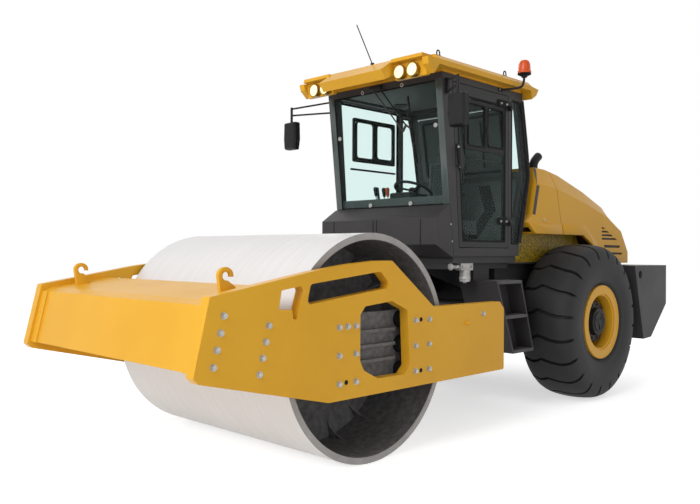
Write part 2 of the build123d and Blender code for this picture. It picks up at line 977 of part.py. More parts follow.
pod_shape = [
    (620, roof_z0),
    (680, 3104),
    (715, 3104),
    (735, 3240),
    (790, 3252),
    (782, roof_z1 - 8),
    (620, roof_z1 - 8),
]
cheek_shape = [(620, roof_z0), (690, 3112), (770, 3180), (785, 3240), (620, 3250)]

with BuildPart() as cab_roof:
    slab_x(
        [
            (-roof_half, roof_z0),
            (roof_half, roof_z0),
            (roof_half, roof_z1 - roof_edge),
            (roof_half - roof_edge, roof_z1),
            (roof_edge - roof_half, roof_z1),
            (-roof_half, roof_z1 - roof_edge),
        ],
        -900,
        640,
    )
    block(cab_outline[2][0] + 10, cab_outline[1][0] - 10, 5 - cab_half, cab_half - 5, cab_top, roof_z0)
    slab_y(
        [(-890, roof_z0), (-905, 3118), (-985, 3165), (-1035, 3232), (-900, roof_z1 - roof_edge)],
        -roof_half,
        roof_half,
    )
    for side in (1, -1):
        low, high = band(side, visor_half, pod_half)
        slab_y(pod_shape, low, high)
        low, high = band(side, pod_half, roof_half)
        slab_y(cheek_shape, low, high)
    slab_y(
        [(620, roof_z0), (854, 3097), (912, 3174), (745, roof_z1 - visor_step), (620, roof_z1 - visor_step)],
        -visor_half,
        visor_half,
    )

with BuildPart() as roof_lamps:
    for y in (pod_half - 127, visor_half + 83):
        for side in (1, -1):
            disc_x(side * y, 3162, lamp_r, 700, 766)
    slab_y(pod_shape, -roof_half, roof_half, Mode.SUBTRACT)

with BuildPart() as beacon:
    root = (-470, cab_half + 4, 3158)
    with BuildLine() as run:
        Spline(
            root,
            (beacon_x + 60, roof_half + 22, 3184),
            (beacon_x, beacon_y, beacon_z - 10),
            tangents=[(-0.35, 1, 0), (0, 0, 1)],
        )
    with BuildSketch(Plane(root, z_dir=(-0.35, 1, 0))) as ring:
        Circle(pole_r)
    sweep(ring.sketch, path=run.line)
    block(-515, -430, cab_half, cab_half + 8, 3142, 3176)
    with BuildSketch(Plane((beacon_x, beacon_y, beacon_z), x_dir=(1, 0, 0), z_dir=(0, -1, 0))) as face:
        with BuildLine():
            Polyline(
                (0, -24),
                (30, -24),
                (34, 0),
                (beacon_r + 10, 0),
                (beacon_r + 10, 36),
                (beacon_r, 44),
                (beacon_r - 4, beacon_h - 44),
                (beacon_r - 18, beacon_h - 16),
                (beacon_r - 42, beacon_h),
                (0, beacon_h),
                close=True,
            )
        make_face()
    revolve(face.sketch, axis=Axis((beacon_x, beacon_y, 0), (0, 0, 1)))

with BuildPart() as antenna:
    foot_z = roof_z1 - visor_step
    disc_z(antenna_x, antenna_y, 18, foot_z, foot_z + 30)
    bar((antenna_x, antenna_y, foot_z + 20), (antenna_x + 88, antenna_y - 120, 3680), 5)

with BuildPart() as mirrors:
    for side in (1, -1):
        near = side * (mirror_y - mirror_w / 2)
        far = side * (mirror_y + mirror_w / 2)
        housing = [
            (near + side * 18, mirror_z0),
            (far - side * 10, mirror_z0),
            (far, mirror_z0 + 110),
            (far - side * 6, mirror_z1),
            (near + side * 6, mirror_z1),
            (near, mirror_z0 + 110),
        ]
        slab_x(housing, mirror_x - 38, mirror_x + 14, radius=16)
        with BuildSketch(Plane.YZ.offset(mirror_x + 14)) as face:
            with BuildLine():
                Polyline(*housing, close=True)
            make_face()
            fillet(face.vertices(), 16)
        extrude(face.sketch, amount=24, taper=28)
        root_x = cab_face(arm_low) - 40
        root_y = side * (cab_half + 14)
        post = (mirror_x, side * mirror_y)
        block(root_x - 12, root_x + 12, root_y - 16, root_y + 16, arm_low - 14, arm_high + 14)
        bar((root_x, root_y, arm_high), (*post, mirror_z1 + 140), 9)
        bar((root_x, root_y, arm_low), (*post, mirror_z1 + 72), 9)
        bar((*post, mirror_z1 - 5), (*post, mirror_z1 + 155), 13)
    slab_y(cab_outline, -cab_half, cab_half, Mode.SUBTRACT)

with BuildPart() as wiper:
    block(cab_face(3155) - 20, cab_face(3155) + 34, -100, -20, 3135, 3174)
    joint = (cab_face(2760) + 14, 296, 2760)
    bar((cab_face(3146) + 20, -60, 3146), joint, 8)
    bar((cab_face(3000) + 14, 262, 3000), (cab_face(2420) + 14, 345, 2420), 9)
    slab_y(cab_outline, -cab_half, cab_half, Mode.SUBTRACT)

with BuildPart() as operator_seat:
    block(-480, -100, -190, 190, floor_z, 1760)
    block(-560, -20, -260, 260, 1760, 1990)
    slab_y([(-560, 1990), (-430, 1990), (-540, 2750), (-640, 2750)], -240, 240)

with BuildPart() as steering_console:
    slab_y([(210, floor_z), (60, floor_z), (20, 1900), (110, 2060), (250, 2060)], -200, 200)
    bar((60, 0, 2000), (-20, 0, 2180), 30)

with BuildPart() as side_console:
    lever_y = cab_half - 235
    block(-520, 60, -lever_y - 100, 100 - lever_y, floor_z, 2080)
    bar((-60, -lever_y, 2080), (-30, -lever_y, 2240), 14)

with BuildPart() as hydraulic_filter:
    block(-60, 130, deck_half, deck_half + 65, 1390, deck_z1)
    disc_z(35, deck_half + 40, 50, 1284, 1390)

with BuildPart() as door_hinges:
    for z in hinge_levels:
        low = z - knuckle_len - 2
        disc_z(door_rear, door_hinge_y, knuckle_r, low, low + knuckle_len)
        disc_z(door_rear, door_hinge_y, knuckle_pin, low, low + 2 * knuckle_len + 6)
        slab_z(
            [
                (door_rear - 38, cab_half),
                (door_rear - 10, cab_half),
                (door_rear, door_hinge_y - 10),
                (door_rear, door_hinge_y + 12),
                (door_rear - 38, cab_half + 10),
            ],
            low,
            low + knuckle_len,
        )


def door_outline(edge, head):
    low = door_sill + edge
    high = door_top - head
    return [
        (door_rear + edge, low),
        (door_front(low) - edge, low),
        (door_front(high) - edge, high),
        (door_rear + edge, high),
    ]


pane_shape = door_outline(door_gap + door_rim, door_gap + door_head)

with BuildPart() as door_frame:
    slab_y(door_outline(door_gap, door_gap), cab_half - cab_wall, cab_half)
    slab_y(pane_shape, cab_half - cab_wall, cab_half, Mode.SUBTRACT)
    for z in hinge_levels:
        low = z + 2
        disc_z(door_rear, door_hinge_y, knuckle_r, low, low + knuckle_len)
        slab_z(
            [
                (door_rear + 45, cab_half),
                (door_rear + 10, cab_half),
                (door_rear, door_hinge_y - 10),
                (door_rear, door_hinge_y + 12),
                (door_rear + 45, cab_half + 10),
            ],
            low,
            low + knuckle_len,
        )
        disc_z(door_rear, door_hinge_y, knuckle_pin + fit, low, low + knuckle_len, Mode.SUBTRACT)
    grip_y = cab_half + 45
    for z in (2350, 2505):
        grip_x = door_front(z) - door_gap - door_rim / 2
        bar((grip_x, cab_half, z), (grip_x, grip_y, z), 9)
    low_x = door_front(2335) - door_gap - door_rim / 2
    high_x = door_front(2520) - door_gap - door_rim / 2
    bar((low_x, grip_y, 2335), (high_x, grip_y, 2520), 10)

with BuildPart() as door_glass:
    slab_y(pane_shape, cab_half - pane_set - glass_t, cab_half - pane_set)

pieces = {
    "side_plate_left": side_plate_left,
    "side_plate_right": side_plate_right,
    "front_beam": front_beam,
    "rear_beam": rear_beam,
    "lifting_hooks": lifting_hooks,
    "drum_supports": drum_supports,
    "rubber_buffers": rubber_buffers,
    "drum_shell": drum_shell,
    "drum_heads": drum_heads,
    "hitch_block": hitch_block,
    "steering_barrel_left": steering_barrel_left,
    "steering_barrel_right": steering_barrel_right,
    "steering_rod_left": steering_rod_left,
    "steering_rod_right": steering_rod_right,
    "rear_chassis": rear_chassis,
    "rear_axle": rear_axle,
    "tyre_left": tyre_left,
    "tyre_right": tyre_right,
    "rim_left": rim_left,
    "rim_right": rim_right,
    "hub_left": hub_left,
    "hub_right": hub_right,
    "engine_block": engine_block,
    "counterweight": counterweight,
    "tow_lug": tow_lug,
    "bay_panels": bay_panels,
    "hood_cowl": hood_cowl,
    "hood": hood,
    "exhaust_stub": exhaust_stub,
    "left_steps": left_steps,
    "right_tank": right_tank,
    "cab_floor": cab_floor,
    "front_cowl": front_cowl,
    "cab_frame": cab_frame,
    "cab_glass": cab_glass,
    "cab_roof": cab_roof,
    "roof_lamps": roof_lamps,
    "beacon": beacon,
    "antenna": antenna,
    "mirrors": mirrors,
    "wiper": wiper,
    "operator_seat": operator_seat,
    "steering_console": steering_console,
    "side_console": side_console,
    "hydraulic_filter": hydraulic_filter,
    "door_hinges": door_hinges,
    "door_frame": door_frame,
    "door_glass": door_glass,
}
for name, piece in pieces.items():
    piece.part.label = name
    export_step(piece.part, f"parts/{name}.step")
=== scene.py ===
import json
from math import cos, radians, sin, tau

import bmesh
import bpy
from mathutils import Matrix, Vector


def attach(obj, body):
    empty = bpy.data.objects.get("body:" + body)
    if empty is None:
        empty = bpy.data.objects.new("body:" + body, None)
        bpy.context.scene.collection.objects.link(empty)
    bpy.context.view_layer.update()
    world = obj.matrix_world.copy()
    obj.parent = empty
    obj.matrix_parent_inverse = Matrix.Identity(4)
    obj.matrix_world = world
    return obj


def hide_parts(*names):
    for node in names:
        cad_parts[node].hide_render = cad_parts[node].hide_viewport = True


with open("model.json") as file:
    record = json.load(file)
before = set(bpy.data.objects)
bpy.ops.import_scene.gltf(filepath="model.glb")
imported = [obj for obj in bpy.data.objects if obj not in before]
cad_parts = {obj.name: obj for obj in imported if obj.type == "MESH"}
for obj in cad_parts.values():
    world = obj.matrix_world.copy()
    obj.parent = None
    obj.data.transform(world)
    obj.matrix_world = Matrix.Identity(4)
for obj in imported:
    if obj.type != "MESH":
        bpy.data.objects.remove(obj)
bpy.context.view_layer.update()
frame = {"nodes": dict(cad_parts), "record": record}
nodes = frame["nodes"]
print("frame loaded:", len(nodes), "nodes")


# sRGB hex to the linear values that the shaders take
def linear(hexColour):
    parts = [int(hexColour[i:i + 2], 16) / 255 for i in (1, 3, 5)]
    return tuple(c / 12.92 if c <= 0.04045 else ((c + 0.055) / 1.055) ** 2.4 for c in parts) + (1,)


def addNode(tree, kind, settings=None, links=None):
    node = tree.nodes.new(kind)
    for key, value in (settings or {}).items():
        if key in node.inputs:
            node.inputs[key].default_value = value
        else:
            setattr(node, key, value)
    for key, source in (links or {}).items():
        tree.links.new(source, node.inputs[key])
    return node


def perMetre(millimetres):
    return 1000 / millimetres


def newFinish(name, settings):
    material = bpy.data.materials.new(name)
    material.use_nodes = True
    tree = material.node_tree
    shader = tree.nodes["Principled BSDF"]
    for key, value in settings.items():
        shader.inputs[key].default_value = value
    place = addNode(tree, "ShaderNodeTexCoord")
    return material, tree, shader, place.outputs["Object"]


# a colour that drifts over the surface, a grain in the gloss and a fine relief, all from real sizes in mm
def surfaceFinish(name, look, settings):
    material, tree, shader, place = newFinish(name, settings)
    if "stretch" in look:
        turned = addNode(tree, "ShaderNodeMapping", {"Scale": look["stretch"]}, {"Vector": place})
        place = turned.outputs["Vector"]
    cloud = addNode(
        tree, "ShaderNodeTexNoise", {"Scale": perMetre(look["driftSize"]), "Detail": 4.0}, {"Vector": place}
    )
    ramp = addNode(tree, "ShaderNodeValToRGB", {}, {"Fac": cloud.outputs["Fac"]})
    ramp.color_ramp.elements[0].position = 0.5 - look.get("spread", 0.2)
    ramp.color_ramp.elements[1].position = 0.5 + look.get("spread", 0.2)
    ramp.color_ramp.elements[0].color = linear(look["base"])
    ramp.color_ramp.elements[1].color = linear(look["drift"])
    tree.links.new(ramp.outputs["Color"], shader.inputs["Base Color"])
    grain = addNode(
        tree, "ShaderNodeTexNoise", {"Scale": perMetre(look["grainSize"]), "Detail": 2.0}, {"Vector": place}
    )
    rough = addNode(
        tree,
        "ShaderNodeMapRange",
        {"To Min": look["gloss"][0], "To Max": look["gloss"][1]},
        {"Value": cloud.outputs["Fac"]},
    )
    tree.links.new(rough.outputs["Result"], shader.inputs["Roughness"])
    bump = addNode(
        tree,
        "ShaderNodeBump",
        {"Strength": 0.4, "Distance": look["grainHeight"] / 1000},
        {"Height": grain.outputs["Fac"]},
    )
    tree.links.new(bump.outputs["Normal"], shader.inputs["Normal"])
    return material


# sprayed two-pack machine enamel: even yellow, soft orange peel under a clear gloss
machineEnamel = surfaceFinish(
    "machineEnamel",
    {"base": "#E2AA2E", "drift": "#DBA228", "driftSize": 700, "grainSize": 12, "grainHeight": 0.06,
     "gloss": (0.28, 0.4)},
    {"IOR": 1.5, "Specular IOR Level": 0.16, "Coat Weight": 0.06, "Coat Roughness": 0.15},
)
# perforated sheet in the yellow enamel, its yellow painted far darker as painted shade for a panel that lies in shade;
# small dark holes make it look speckled
perforatedSheetInPaintedShade = surfaceFinish(
    "perforatedSheetInPaintedShade",
    {"base": "#4F4208", "drift": "#BC9C16", "driftSize": 17, "spread": 0.14, "grainSize": 17, "grainHeight": 1.2,
     "gloss": (0.45, 0.6)},
    {"IOR": 1.5},
)
# satin chassis paint on cut plate: warm dark grey, slightly rough
chassisSatin = surfaceFinish(
    "chassisSatin",
    {"base": "#3F3D3E", "drift": "#383637", "driftSize": 420, "grainSize": 6, "grainHeight": 0.08,
     "gloss": (0.42, 0.58)},
    {"IOR": 1.5, "Specular IOR Level": 0.25},
)
# injection-moulded polypropylene: nearly black with a fine leather grain
grainedPlastic = surfaceFinish(
    "grainedPlastic",
    {"base": "#19191A", "drift": "#222223", "driftSize": 110, "grainSize": 4, "grainHeight": 0.12,
     "gloss": (0.42, 0.58)},
    {"IOR": 1.5, "Specular IOR Level": 0.18},
)
# vulcanised tyre rubber: matt black with a grey bloom from the mould
tyreRubber = surfaceFinish(
    "tyreRubber",
    {"base": "#212122", "drift": "#2A2A2B", "driftSize": 210, "grainSize": 6, "grainHeight": 0.3,
     "gloss": (0.55, 0.75)},
    {"IOR": 1.5, "Specular IOR Level": 0.3},
)
# extruded sealing rubber: dull, no sparkle
sealRubber = surfaceFinish(
    "sealRubber",
    {"base": "#131313", "drift": "#1A1A1A", "driftSize": 80, "grainSize": 5, "grainHeight": 0.1,
     "gloss": (0.7, 0.85)},
    {"IOR": 1.5, "Specular IOR Level": 0.18},
)
# rolled drum plate turned on a lathe: pale, with fine rings round the drum
rolledPlate = surfaceFinish(
    "rolledPlate",
    {"base": "#E4E2E2", "drift": "#DCDAD9", "driftSize": 60, "grainSize": 14, "grainHeight": 0.06,
     "gloss": (0.4, 0.5),
     "stretch": (0.12, 3.0, 0.12)},
    {"Metallic": 0.2, "IOR": 1.5},
)
# flame-cut drum edge, duller than the rolled face
cutEdge = surfaceFinish(
    "cutEdge",
    {"base": "#8E8B89", "drift": "#A09D9B", "driftSize": 90, "grainSize": 5, "grainHeight": 0.2,
     "gloss": (0.45, 0.6)},
    {"Metallic": 0.5},
)
# inside the drum: mid grey, much darker than the rolled plate outside, dull and a little blotched
drumInsideGrey = surfaceFinish(
    "drumInsideGrey",
    {"base": "#7C7B7C", "drift": "#5F5E5F", "driftSize": 45, "grainSize": 8, "grainHeight": 0.5,
     "gloss": (0.6, 0.75)},
    {"IOR": 1.5, "Specular IOR Level": 0.3},
)
# raised-grip tread plate: a paler grey than the chassis paint
treadPlate = surfaceFinish(
    "treadPlate",
    {"base": "#5B595A", "drift": "#4C4A4B", "driftSize": 70, "grainSize": 6, "grainHeight": 0.3,
     "gloss": (0.5, 0.65)},
    {"IOR": 1.5, "Specular IOR Level": 0.3},
)
# ground hard chrome: mirror-bright with a faint blue cast
hardChrome = surfaceFinish(
    "hardChrome",
    {"base": "#C9CACD", "drift": "#BCBEC3", "driftSize": 160, "grainSize": 20, "grainHeight": 0.01,
     "gloss": (0.08, 0.16)},
    {"Metallic": 1.0},
)
# zinc-plated fasteners: light grey metal, slightly clouded
zincPlate = surfaceFinish(
    "zincPlate",
    {"base": "#C2C1BE", "drift": "#A3A29F", "driftSize": 25, "grainSize": 3, "grainHeight": 0.05,
     "gloss": (0.28, 0.42)},
    {"Metallic": 0.7},
)
# sand-cast aluminium: light, dull and pitted
castAluminium = surfaceFinish(
    "castAluminium",
    {"base": "#BDBCBA", "drift": "#9E9D9B", "driftSize": 45, "grainSize": 4, "grainHeight": 0.5,
     "gloss": (0.48, 0.66)},
    {"Metallic": 0.5},
)
# moulded cab lining: grey-green plastic with a felt-like grain
cabLining = surfaceFinish(
    "cabLining",
    {"base": "#3A3E3D", "drift": "#444847", "driftSize": 130, "grainSize": 5, "grainHeight": 0.2,
     "gloss": (0.55, 0.7)},
    {"IOR": 1.5},
)
# woven seat cloth: dark grey, soft, with a coarse thread that shows at this scale
seatCloth = surfaceFinish(
    "seatCloth",
    {"base": "#2C2F31", "drift": "#383B3D", "driftSize": 8, "grainSize": 5, "grainHeight": 0.6,
     "gloss": (0.8, 0.92)},
    {"Sheen Weight": 0.3, "Sheen Roughness": 0.5},
)
# red-orange dip-coated lever grip
leverGrip = surfaceFinish(
    "leverGrip",
    {"base": "#C4501C", "drift": "#B34516", "driftSize": 30, "grainSize": 4, "grainHeight": 0.1,
     "gloss": (0.4, 0.5)},
    {"IOR": 1.5},
)
# anodised reflector bowl behind a lamp lens, gold-brown in shade
lampBowl = surfaceFinish(
    "lampBowl",
    {"base": "#A8801F", "drift": "#8E6A16", "driftSize": 30, "grainSize": 3, "grainHeight": 0.05,
     "gloss": (0.25, 0.4)},
    {"Metallic": 0.6},
)
# enamelled border of the windscreen over the corner posts: grey-green and shiny
borderGlass = surfaceFinish(
    "borderGlass",
    {"base": "#4C5755", "drift": "#3C4644", "driftSize": 300, "grainSize": 40, "grainHeight": 0.02,
     "gloss": (0.06, 0.12)},
    {"IOR": 1.5},
)
# printed border of the door glass, laid over its frame: nearly black with a soft gloss
doorBorder = surfaceFinish(
    "doorBorder",
    {"base": "#2A2B2B", "drift": "#303130", "driftSize": 160, "grainSize": 30, "grainHeight": 0.02,
     "gloss": (0.3, 0.42)},
    {"IOR": 1.5, "Specular IOR Level": 0.2},
)
# silvered mirror glass
mirrorSilver = surfaceFinish(
    "mirrorSilver",
    {"base": "#D5DADB", "drift": "#CCD2D3", "driftSize": 120, "grainSize": 60, "grainHeight": 0.005,
     "gloss": (0.03, 0.06)},
    {"Metallic": 1.0},
)
# moulded acrylic lenses: even colour, clear gloss, a fine fluting as a ripple, and a faint painted glow
lampLensPaintedGlow = surfaceFinish(
    "lampLensPaintedGlow",
    {"base": "#FFF7D2", "drift": "#F8ECB8", "driftSize": 12, "grainSize": 7, "grainHeight": 0.4,
     "gloss": (0.08, 0.14)},
    {"IOR": 1.49, "Emission Color": linear("#FFF3C4"), "Emission Strength": 0.45},
)
amberLens = surfaceFinish(
    "amberLens",
    {"base": "#DE5A1A", "drift": "#D04E12", "driftSize": 20, "grainSize": 9, "grainHeight": 0.6,
     "gloss": (0.15, 0.25)},
    {"IOR": 1.49, "Specular IOR Level": 0.25, "Coat Weight": 0.1, "Coat Roughness": 0.05},
)
redLens = surfaceFinish(
    "redLens",
    {"base": "#A3141A", "drift": "#8C0F15", "driftSize": 20, "grainSize": 8, "grainHeight": 0.6,
     "gloss": (0.15, 0.25)},
    {"IOR": 1.49, "Coat Weight": 0.4, "Coat Roughness": 0.05},
)

# toughened float glass: a clear film with a faint green cast, and a weak mirror that grows at a glancing angle
toughenedGlass, glassTree, glassShader, glassPlace = newFinish("toughenedGlass", {})
glassClear = addNode(glassTree, "ShaderNodeBsdfTransparent", {"Color": linear("#F6FCFB")})
glassWave = addNode(glassTree, "ShaderNodeTexNoise", {"Scale": perMetre(400), "Detail": 1.0}, {"Vector": glassPlace})
glassRough = addNode(
    glassTree, "ShaderNodeMapRange", {"To Min": 0.02, "To Max": 0.06}, {"Value": glassWave.outputs["Fac"]}
)
glassMirror = addNode(
    glassTree, "ShaderNodeBsdfGlossy", {"Color": linear("#E8F5F1")}, {"Roughness": glassRough.outputs["Result"]}
)
glassAngle = addNode(glassTree, "ShaderNodeLayerWeight", {"Blend": 0.5})
glassShare = addNode(
    glassTree, "ShaderNodeMapRange", {"To Min": 0.001, "To Max": 0.02}, {"Value": glassAngle.outputs["Facing"]}
)
glassMix = addNode(
    glassTree,
    "ShaderNodeMixShader",
    {},
    {0: glassShare.outputs["Result"], 1: glassClear.outputs[0], 2: glassMirror.outputs[0]},
)
glassTree.nodes.remove(glassShader)
glassTree.links.new(glassMix.outputs[0], glassTree.nodes["Material Output"].inputs["Surface"])

finishOfSlot = {
    "yellow_paint": machineEnamel,
    "dark_grey_paint": chassisSatin,
    "drum_steel": rolledPlate,
    "buffer_rubber": sealRubber,
    "chromed_rod": hardChrome,
    "tyre_rubber": tyreRubber,
    "black_plastic": grainedPlastic,
    "cab_tint": toughenedGlass,
    "lamp_lens": lampLensPaintedGlow,
    "amber_lens": amberLens,
    "seat_cloth": seatCloth,
    "filter_casting": castAluminium,
}
finishOfNode = {
    # the bay panels take the darkened yellow, which is painted shade
    "bay_panels": perforatedSheetInPaintedShade,
    "steering_console": cabLining,
    "side_console": cabLining,
    "drum_heads": drumInsideGrey,
    "drum_supports": drumInsideGrey,
    "door_frame": doorBorder,
}
for row in frame["record"]["subparts"]:
    mesh = nodes[row["node"]].data
    mesh.materials.clear()
    mesh.materials.append(finishOfNode.get(row["node"], finishOfSlot[row["material_slot"]]))

# soft edges on the big painted pieces, where a sharp edge would show
softEdges = {
    "width": 0.006, "segments": 2, "angle": 32, "merge": 0.0001,
    "nodes": ("front_beam", "side_plate_left", "side_plate_right", "counterweight", "cab_roof", "front_cowl"),
}
for name in softEdges["nodes"]:
    weld = nodes[name].modifiers.new("weld", "WELD")
    weld.merge_threshold = softEdges["merge"]
    soft = nodes[name].modifiers.new("softEdge", "BEVEL")
    soft.width = softEdges["width"]
    soft.segments = softEdges["segments"]
    soft.limit_method = "ANGLE"
    soft.angle_limit = radians(softEdges["angle"])
    soft.profile = 0.5
print("finishes on every node")


shift = Matrix.Translation
mergeGap = 0.00002
fineEdge, smallEdge, softEdge = 0.0015, 0.002, 0.003
sharpFrom = radians(34)


# puts a shaped part into a piece, at its place and in one of the piece's finishes
def addPart(form, part, place=None, finish=0):
    bmesh.ops.remove_doubles(part, verts=part.verts, dist=mergeGap)
    bmesh.ops.recalc_face_normals(part, faces=part.faces)
    if place is not None:
        bmesh.ops.transform(part, matrix=place, verts=part.verts)
        if place.determinant() < 0:
            bmesh.ops.reverse_faces(part, faces=part.faces)
    for face in part.faces:
        face.material_index = finish
    scrap = bpy.data.meshes.new("scrap")
    part.to_mesh(scrap)
    part.free()
    form.from_mesh(scrap)
    bpy.data.meshes.remove(scrap)


def keepPiece(name, form, finishes, body):
    for face in form.faces:
        face.smooth = True
    for edge in form.edges:
        edge.smooth = edge.is_manifold and edge.calc_face_angle(0) < sharpFrom
    mesh = bpy.data.meshes.new(name)
    form.to_mesh(mesh)
    form.free()
    for finish in finishes:
        mesh.materials.append(finish)
    piece = bpy.data.objects.new(name, mesh)
    bpy.context.scene.collection.objects.link(piece)
    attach(piece, body)
    return piece


def roundOff(part, geom, width, segments=2, affect="EDGES", clamp=True):
    bmesh.ops.bevel(
        part, geom=geom, offset=width, offset_type="OFFSET", segments=segments, profile=0.5, affect=affect,
        material=-1, clamp_overlap=clamp,
    )


# rounds only the edges round the many-sided end faces
def softenRims(part, width):
    rims = [edge for edge in part.edges if len(edge.link_faces) == 2
            and max(len(face.verts) for face in edge.link_faces) > 4]
    roundOff(part, rims, width, clamp=False)


def blockPart(low, high, soft=0.0):
    part = bmesh.new()
    bmesh.ops.create_cube(part, size=1)
    bmesh.ops.scale(part, vec=Vector(high) - Vector(low), verts=part.verts)
    bmesh.ops.translate(part, vec=(Vector(high) + Vector(low)) / 2, verts=part.verts)
    if soft:
        roundOff(part, part.edges[:], soft)
    return part


def rodPart(start, end, radius, endRadius=None, segments=20, soft=0.0):
    part = bmesh.new()
    run = Vector(end) - Vector(start)
    turn = run.to_track_quat("Z", "Y").to_matrix().to_4x4()
    bmesh.ops.create_cone(
        part, cap_ends=True, segments=segments, radius1=radius,
        radius2=radius if endRadius is None else endRadius, depth=run.length,
        matrix=shift((Vector(start) + Vector(end)) / 2) @ turn,
    )
    if soft:
        softenRims(part, soft)
    return part


def spinRound(part, steps):
    bmesh.ops.spin(
        part, geom=part.verts[:] + part.edges[:], cent=(0, 0, 0), axis=(0, 0, 1), angle=tau, steps=steps,
        use_merge=True, use_normal_flip=False, use_duplicate=False,
    )


# a turned shape: the profile is (radius, height) and the axis is its own Z
def turnedPart(profile, steps=40):
    part = bmesh.new()
    chain = [part.verts.new((radius, 0, height)) for radius, height in profile]
    for pair in zip(chain, chain[1:]):
        part.edges.new(pair)
    spinRound(part, steps)
    bmesh.ops.remove_doubles(part, verts=part.verts, dist=mergeGap)
    return part


def rectangle(low, high):
    return [(low[0], low[1]), (high[0], low[1]), (high[0], high[1]), (low[0], high[1])]


def flatPart(points, corner):
    part = bmesh.new()
    part.faces.new([part.verts.new((a, b, 0)) for a, b in points])
    if corner:
        roundOff(part, part.verts[:], corner, 5, "VERTICES")
    return part


def drawOut(part, thick):
    drawn = bmesh.ops.extrude_face_region(part, geom=part.faces[:])
    moved = [item for item in drawn["geom"] if isinstance(item, bmesh.types.BMVert)]
    bmesh.ops.translate(part, vec=(0, 0, thick), verts=moved)


# a flat outline with rounded corners, drawn out to a thickness
def slabPart(points, thick, corner=0.0, soft=0.0):
    part = flatPart(points, corner)
    drawOut(part, thick)
    bmesh.ops.recalc_face_normals(part, faces=part.faces)
    if soft:
        roundOff(part, part.edges[:], soft)
    return part


# a frame of one width round an outline, with rounded corners
def framePart(points, bar, thick, corner=0.0):
    part = flatPart(points, corner)
    outline = part.faces[:][0]
    bmesh.ops.inset_region(part, faces=[outline], thickness=bar, use_boundary=True, use_even_offset=True)
    bmesh.ops.delete(part, geom=[outline], context="FACES")
    drawOut(part, thick)
    return part


# a tube along a smooth line through its control points
def tubePart(points, radius):
    curve = bpy.data.curves.new("tubeLine", "CURVE")
    curve.dimensions = "3D"
    curve.bevel_depth = radius
    curve.bevel_resolution = 4
    curve.use_fill_caps = True
    spline = curve.splines.new("NURBS")
    spline.points.add(len(points) - 1)
    for point, place in zip(spline.points, points):
        point.co = (*place, 1)
    spline.order_u = 3
    spline.use_endpoint_u = True
    spline.resolution_u = 8
    carrier = bpy.data.objects.new("tubeLine", curve)
    drawn = bpy.data.meshes.new_from_object(carrier)
    part = bmesh.new()
    part.from_mesh(drawn)
    bpy.data.objects.remove(carrier)
    bpy.data.curves.remove(curve)
    bpy.data.meshes.remove(drawn)
    return part


# a flange bolt standing on a surface, its own Z pointing out
def boltPart(radius, height):
    part = bmesh.new()
    bmesh.ops.create_cone(
        part, cap_ends=True, segments=24, radius1=radius, radius2=radius * 0.97, depth=height * 0.3,
        matrix=shift((0, 0, height * 0.15)),
    )
    bmesh.ops.create_cone(
        part, cap_ends=True, segments=6, radius1=radius * 0.8, radius2=radius * 0.76, depth=height * 0.75,
        matrix=shift((0, 0, height * 0.6)),
    )
    return part


# maps a part's own X, Y and Z to three directions, from an origin
def placeOn(origin, across, up, out):
    place = Matrix.Identity(4)
    for column, direction in enumerate((across, up, out)):
        direction = Vector(direction).normalized()
        for row in range(3):
            place[row][column] = direction[row]
    return shift(origin) @ place


# drawn in (x, z) and standing on a side face: side is +1 on the left, -1 on the right
def onSide(y, side, x=0, z=0):
    return placeOn((x, side * y, z), (1, 0, 0), (0, 0, 1), (0, side, 0))


# drawn in (y, z) and standing on a face that looks forward, or back
def onFront(x, y=0, z=0):
    return placeOn((x, y, z), (0, 1, 0), (0, 0, 1), (1, 0, 0))


def onRear(x, y=0, z=0):
    return placeOn((x, y, z), (0, 1, 0), (0, 0, 1), (-1, 0, 0))


def onUnder(x, y, z):
    return placeOn((x, y, z), (1, 0, 0), (0, -1, 0), (0, 0, -1))


def roundZ(angle):
    return Matrix.Rotation(angle, 4, "Z")


# bolts, plugs and grease nipple on the outer faces of the side plates, as (x, z)
plateFixings = {
    "face": 1.2,
    "bolts": [
        (3.171, 1.175), (3.195, 1.074), (3.221, 0.975), (3.246, 0.875),
        (2.829, 1.094), (2.853, 0.994), (2.878, 0.895), (2.903, 0.795),
        (2.208, 1.040), (2.208, 0.845), (2.208, 0.650),
        (2.044, 1.040), (2.044, 0.845), (2.044, 0.650), (2.127, 1.041),
        (1.391, 1.038), (1.391, 0.845), (1.391, 0.652),
        (1.227, 1.038), (1.227, 0.845), (1.227, 0.652), (0.499, 1.040),
    ],
    "boltSize": (0.023, 0.022),
    "plugs": [(2.136, 0.654), (1.322, 1.041), (1.322, 0.650)],
    "plug": [(0, 0.001), (0.012, 0.001), (0.015, 0.003), (0.018, 0.0)],
    "nipplePlace": (0.732, 0.976),
    "nipple": [(0.018, 0), (0.018, 0.012), (0.010, 0.014), (0.010, 0.026), (0.005, 0.032), (0, 0.032)],
}
form = bmesh.new()
for side in (1, -1):
    for x, z in plateFixings["bolts"]:
        addPart(form, boltPart(*plateFixings["boltSize"]), onSide(plateFixings["face"], side, x, z))
    for x, z in plateFixings["plugs"]:
        addPart(form, turnedPart(plateFixings["plug"], 20), onSide(plateFixings["face"], side, x, z), 1)
    nipple = turnedPart(plateFixings["nipple"], 16)
    addPart(form, nipple, onSide(plateFixings["face"], side, *plateFixings["nipplePlace"]), 2)
keepPiece("plateFixings", form, [zincPlate, sealRubber, machineEnamel], "front_frame")
print("plate fixings done")

# dull cut edge on both ends of the drum
drumEdge = {"centre": (1.75, 0.85), "radii": (0.803, 0.849), "face": 1.085, "thick": 0.0015, "steps": 96}
form = bmesh.new()
(inner, outer), thick = drumEdge["radii"], drumEdge["thick"]
for side in (1, -1):
    ring = turnedPart([(inner, 0), (inner, thick), (outer, thick), (outer, 0)], drumEdge["steps"])
    addPart(form, ring, onSide(drumEdge["face"], side, *drumEdge["centre"]))
keepPiece("drumEdge", form, [cutEdge], "drum")
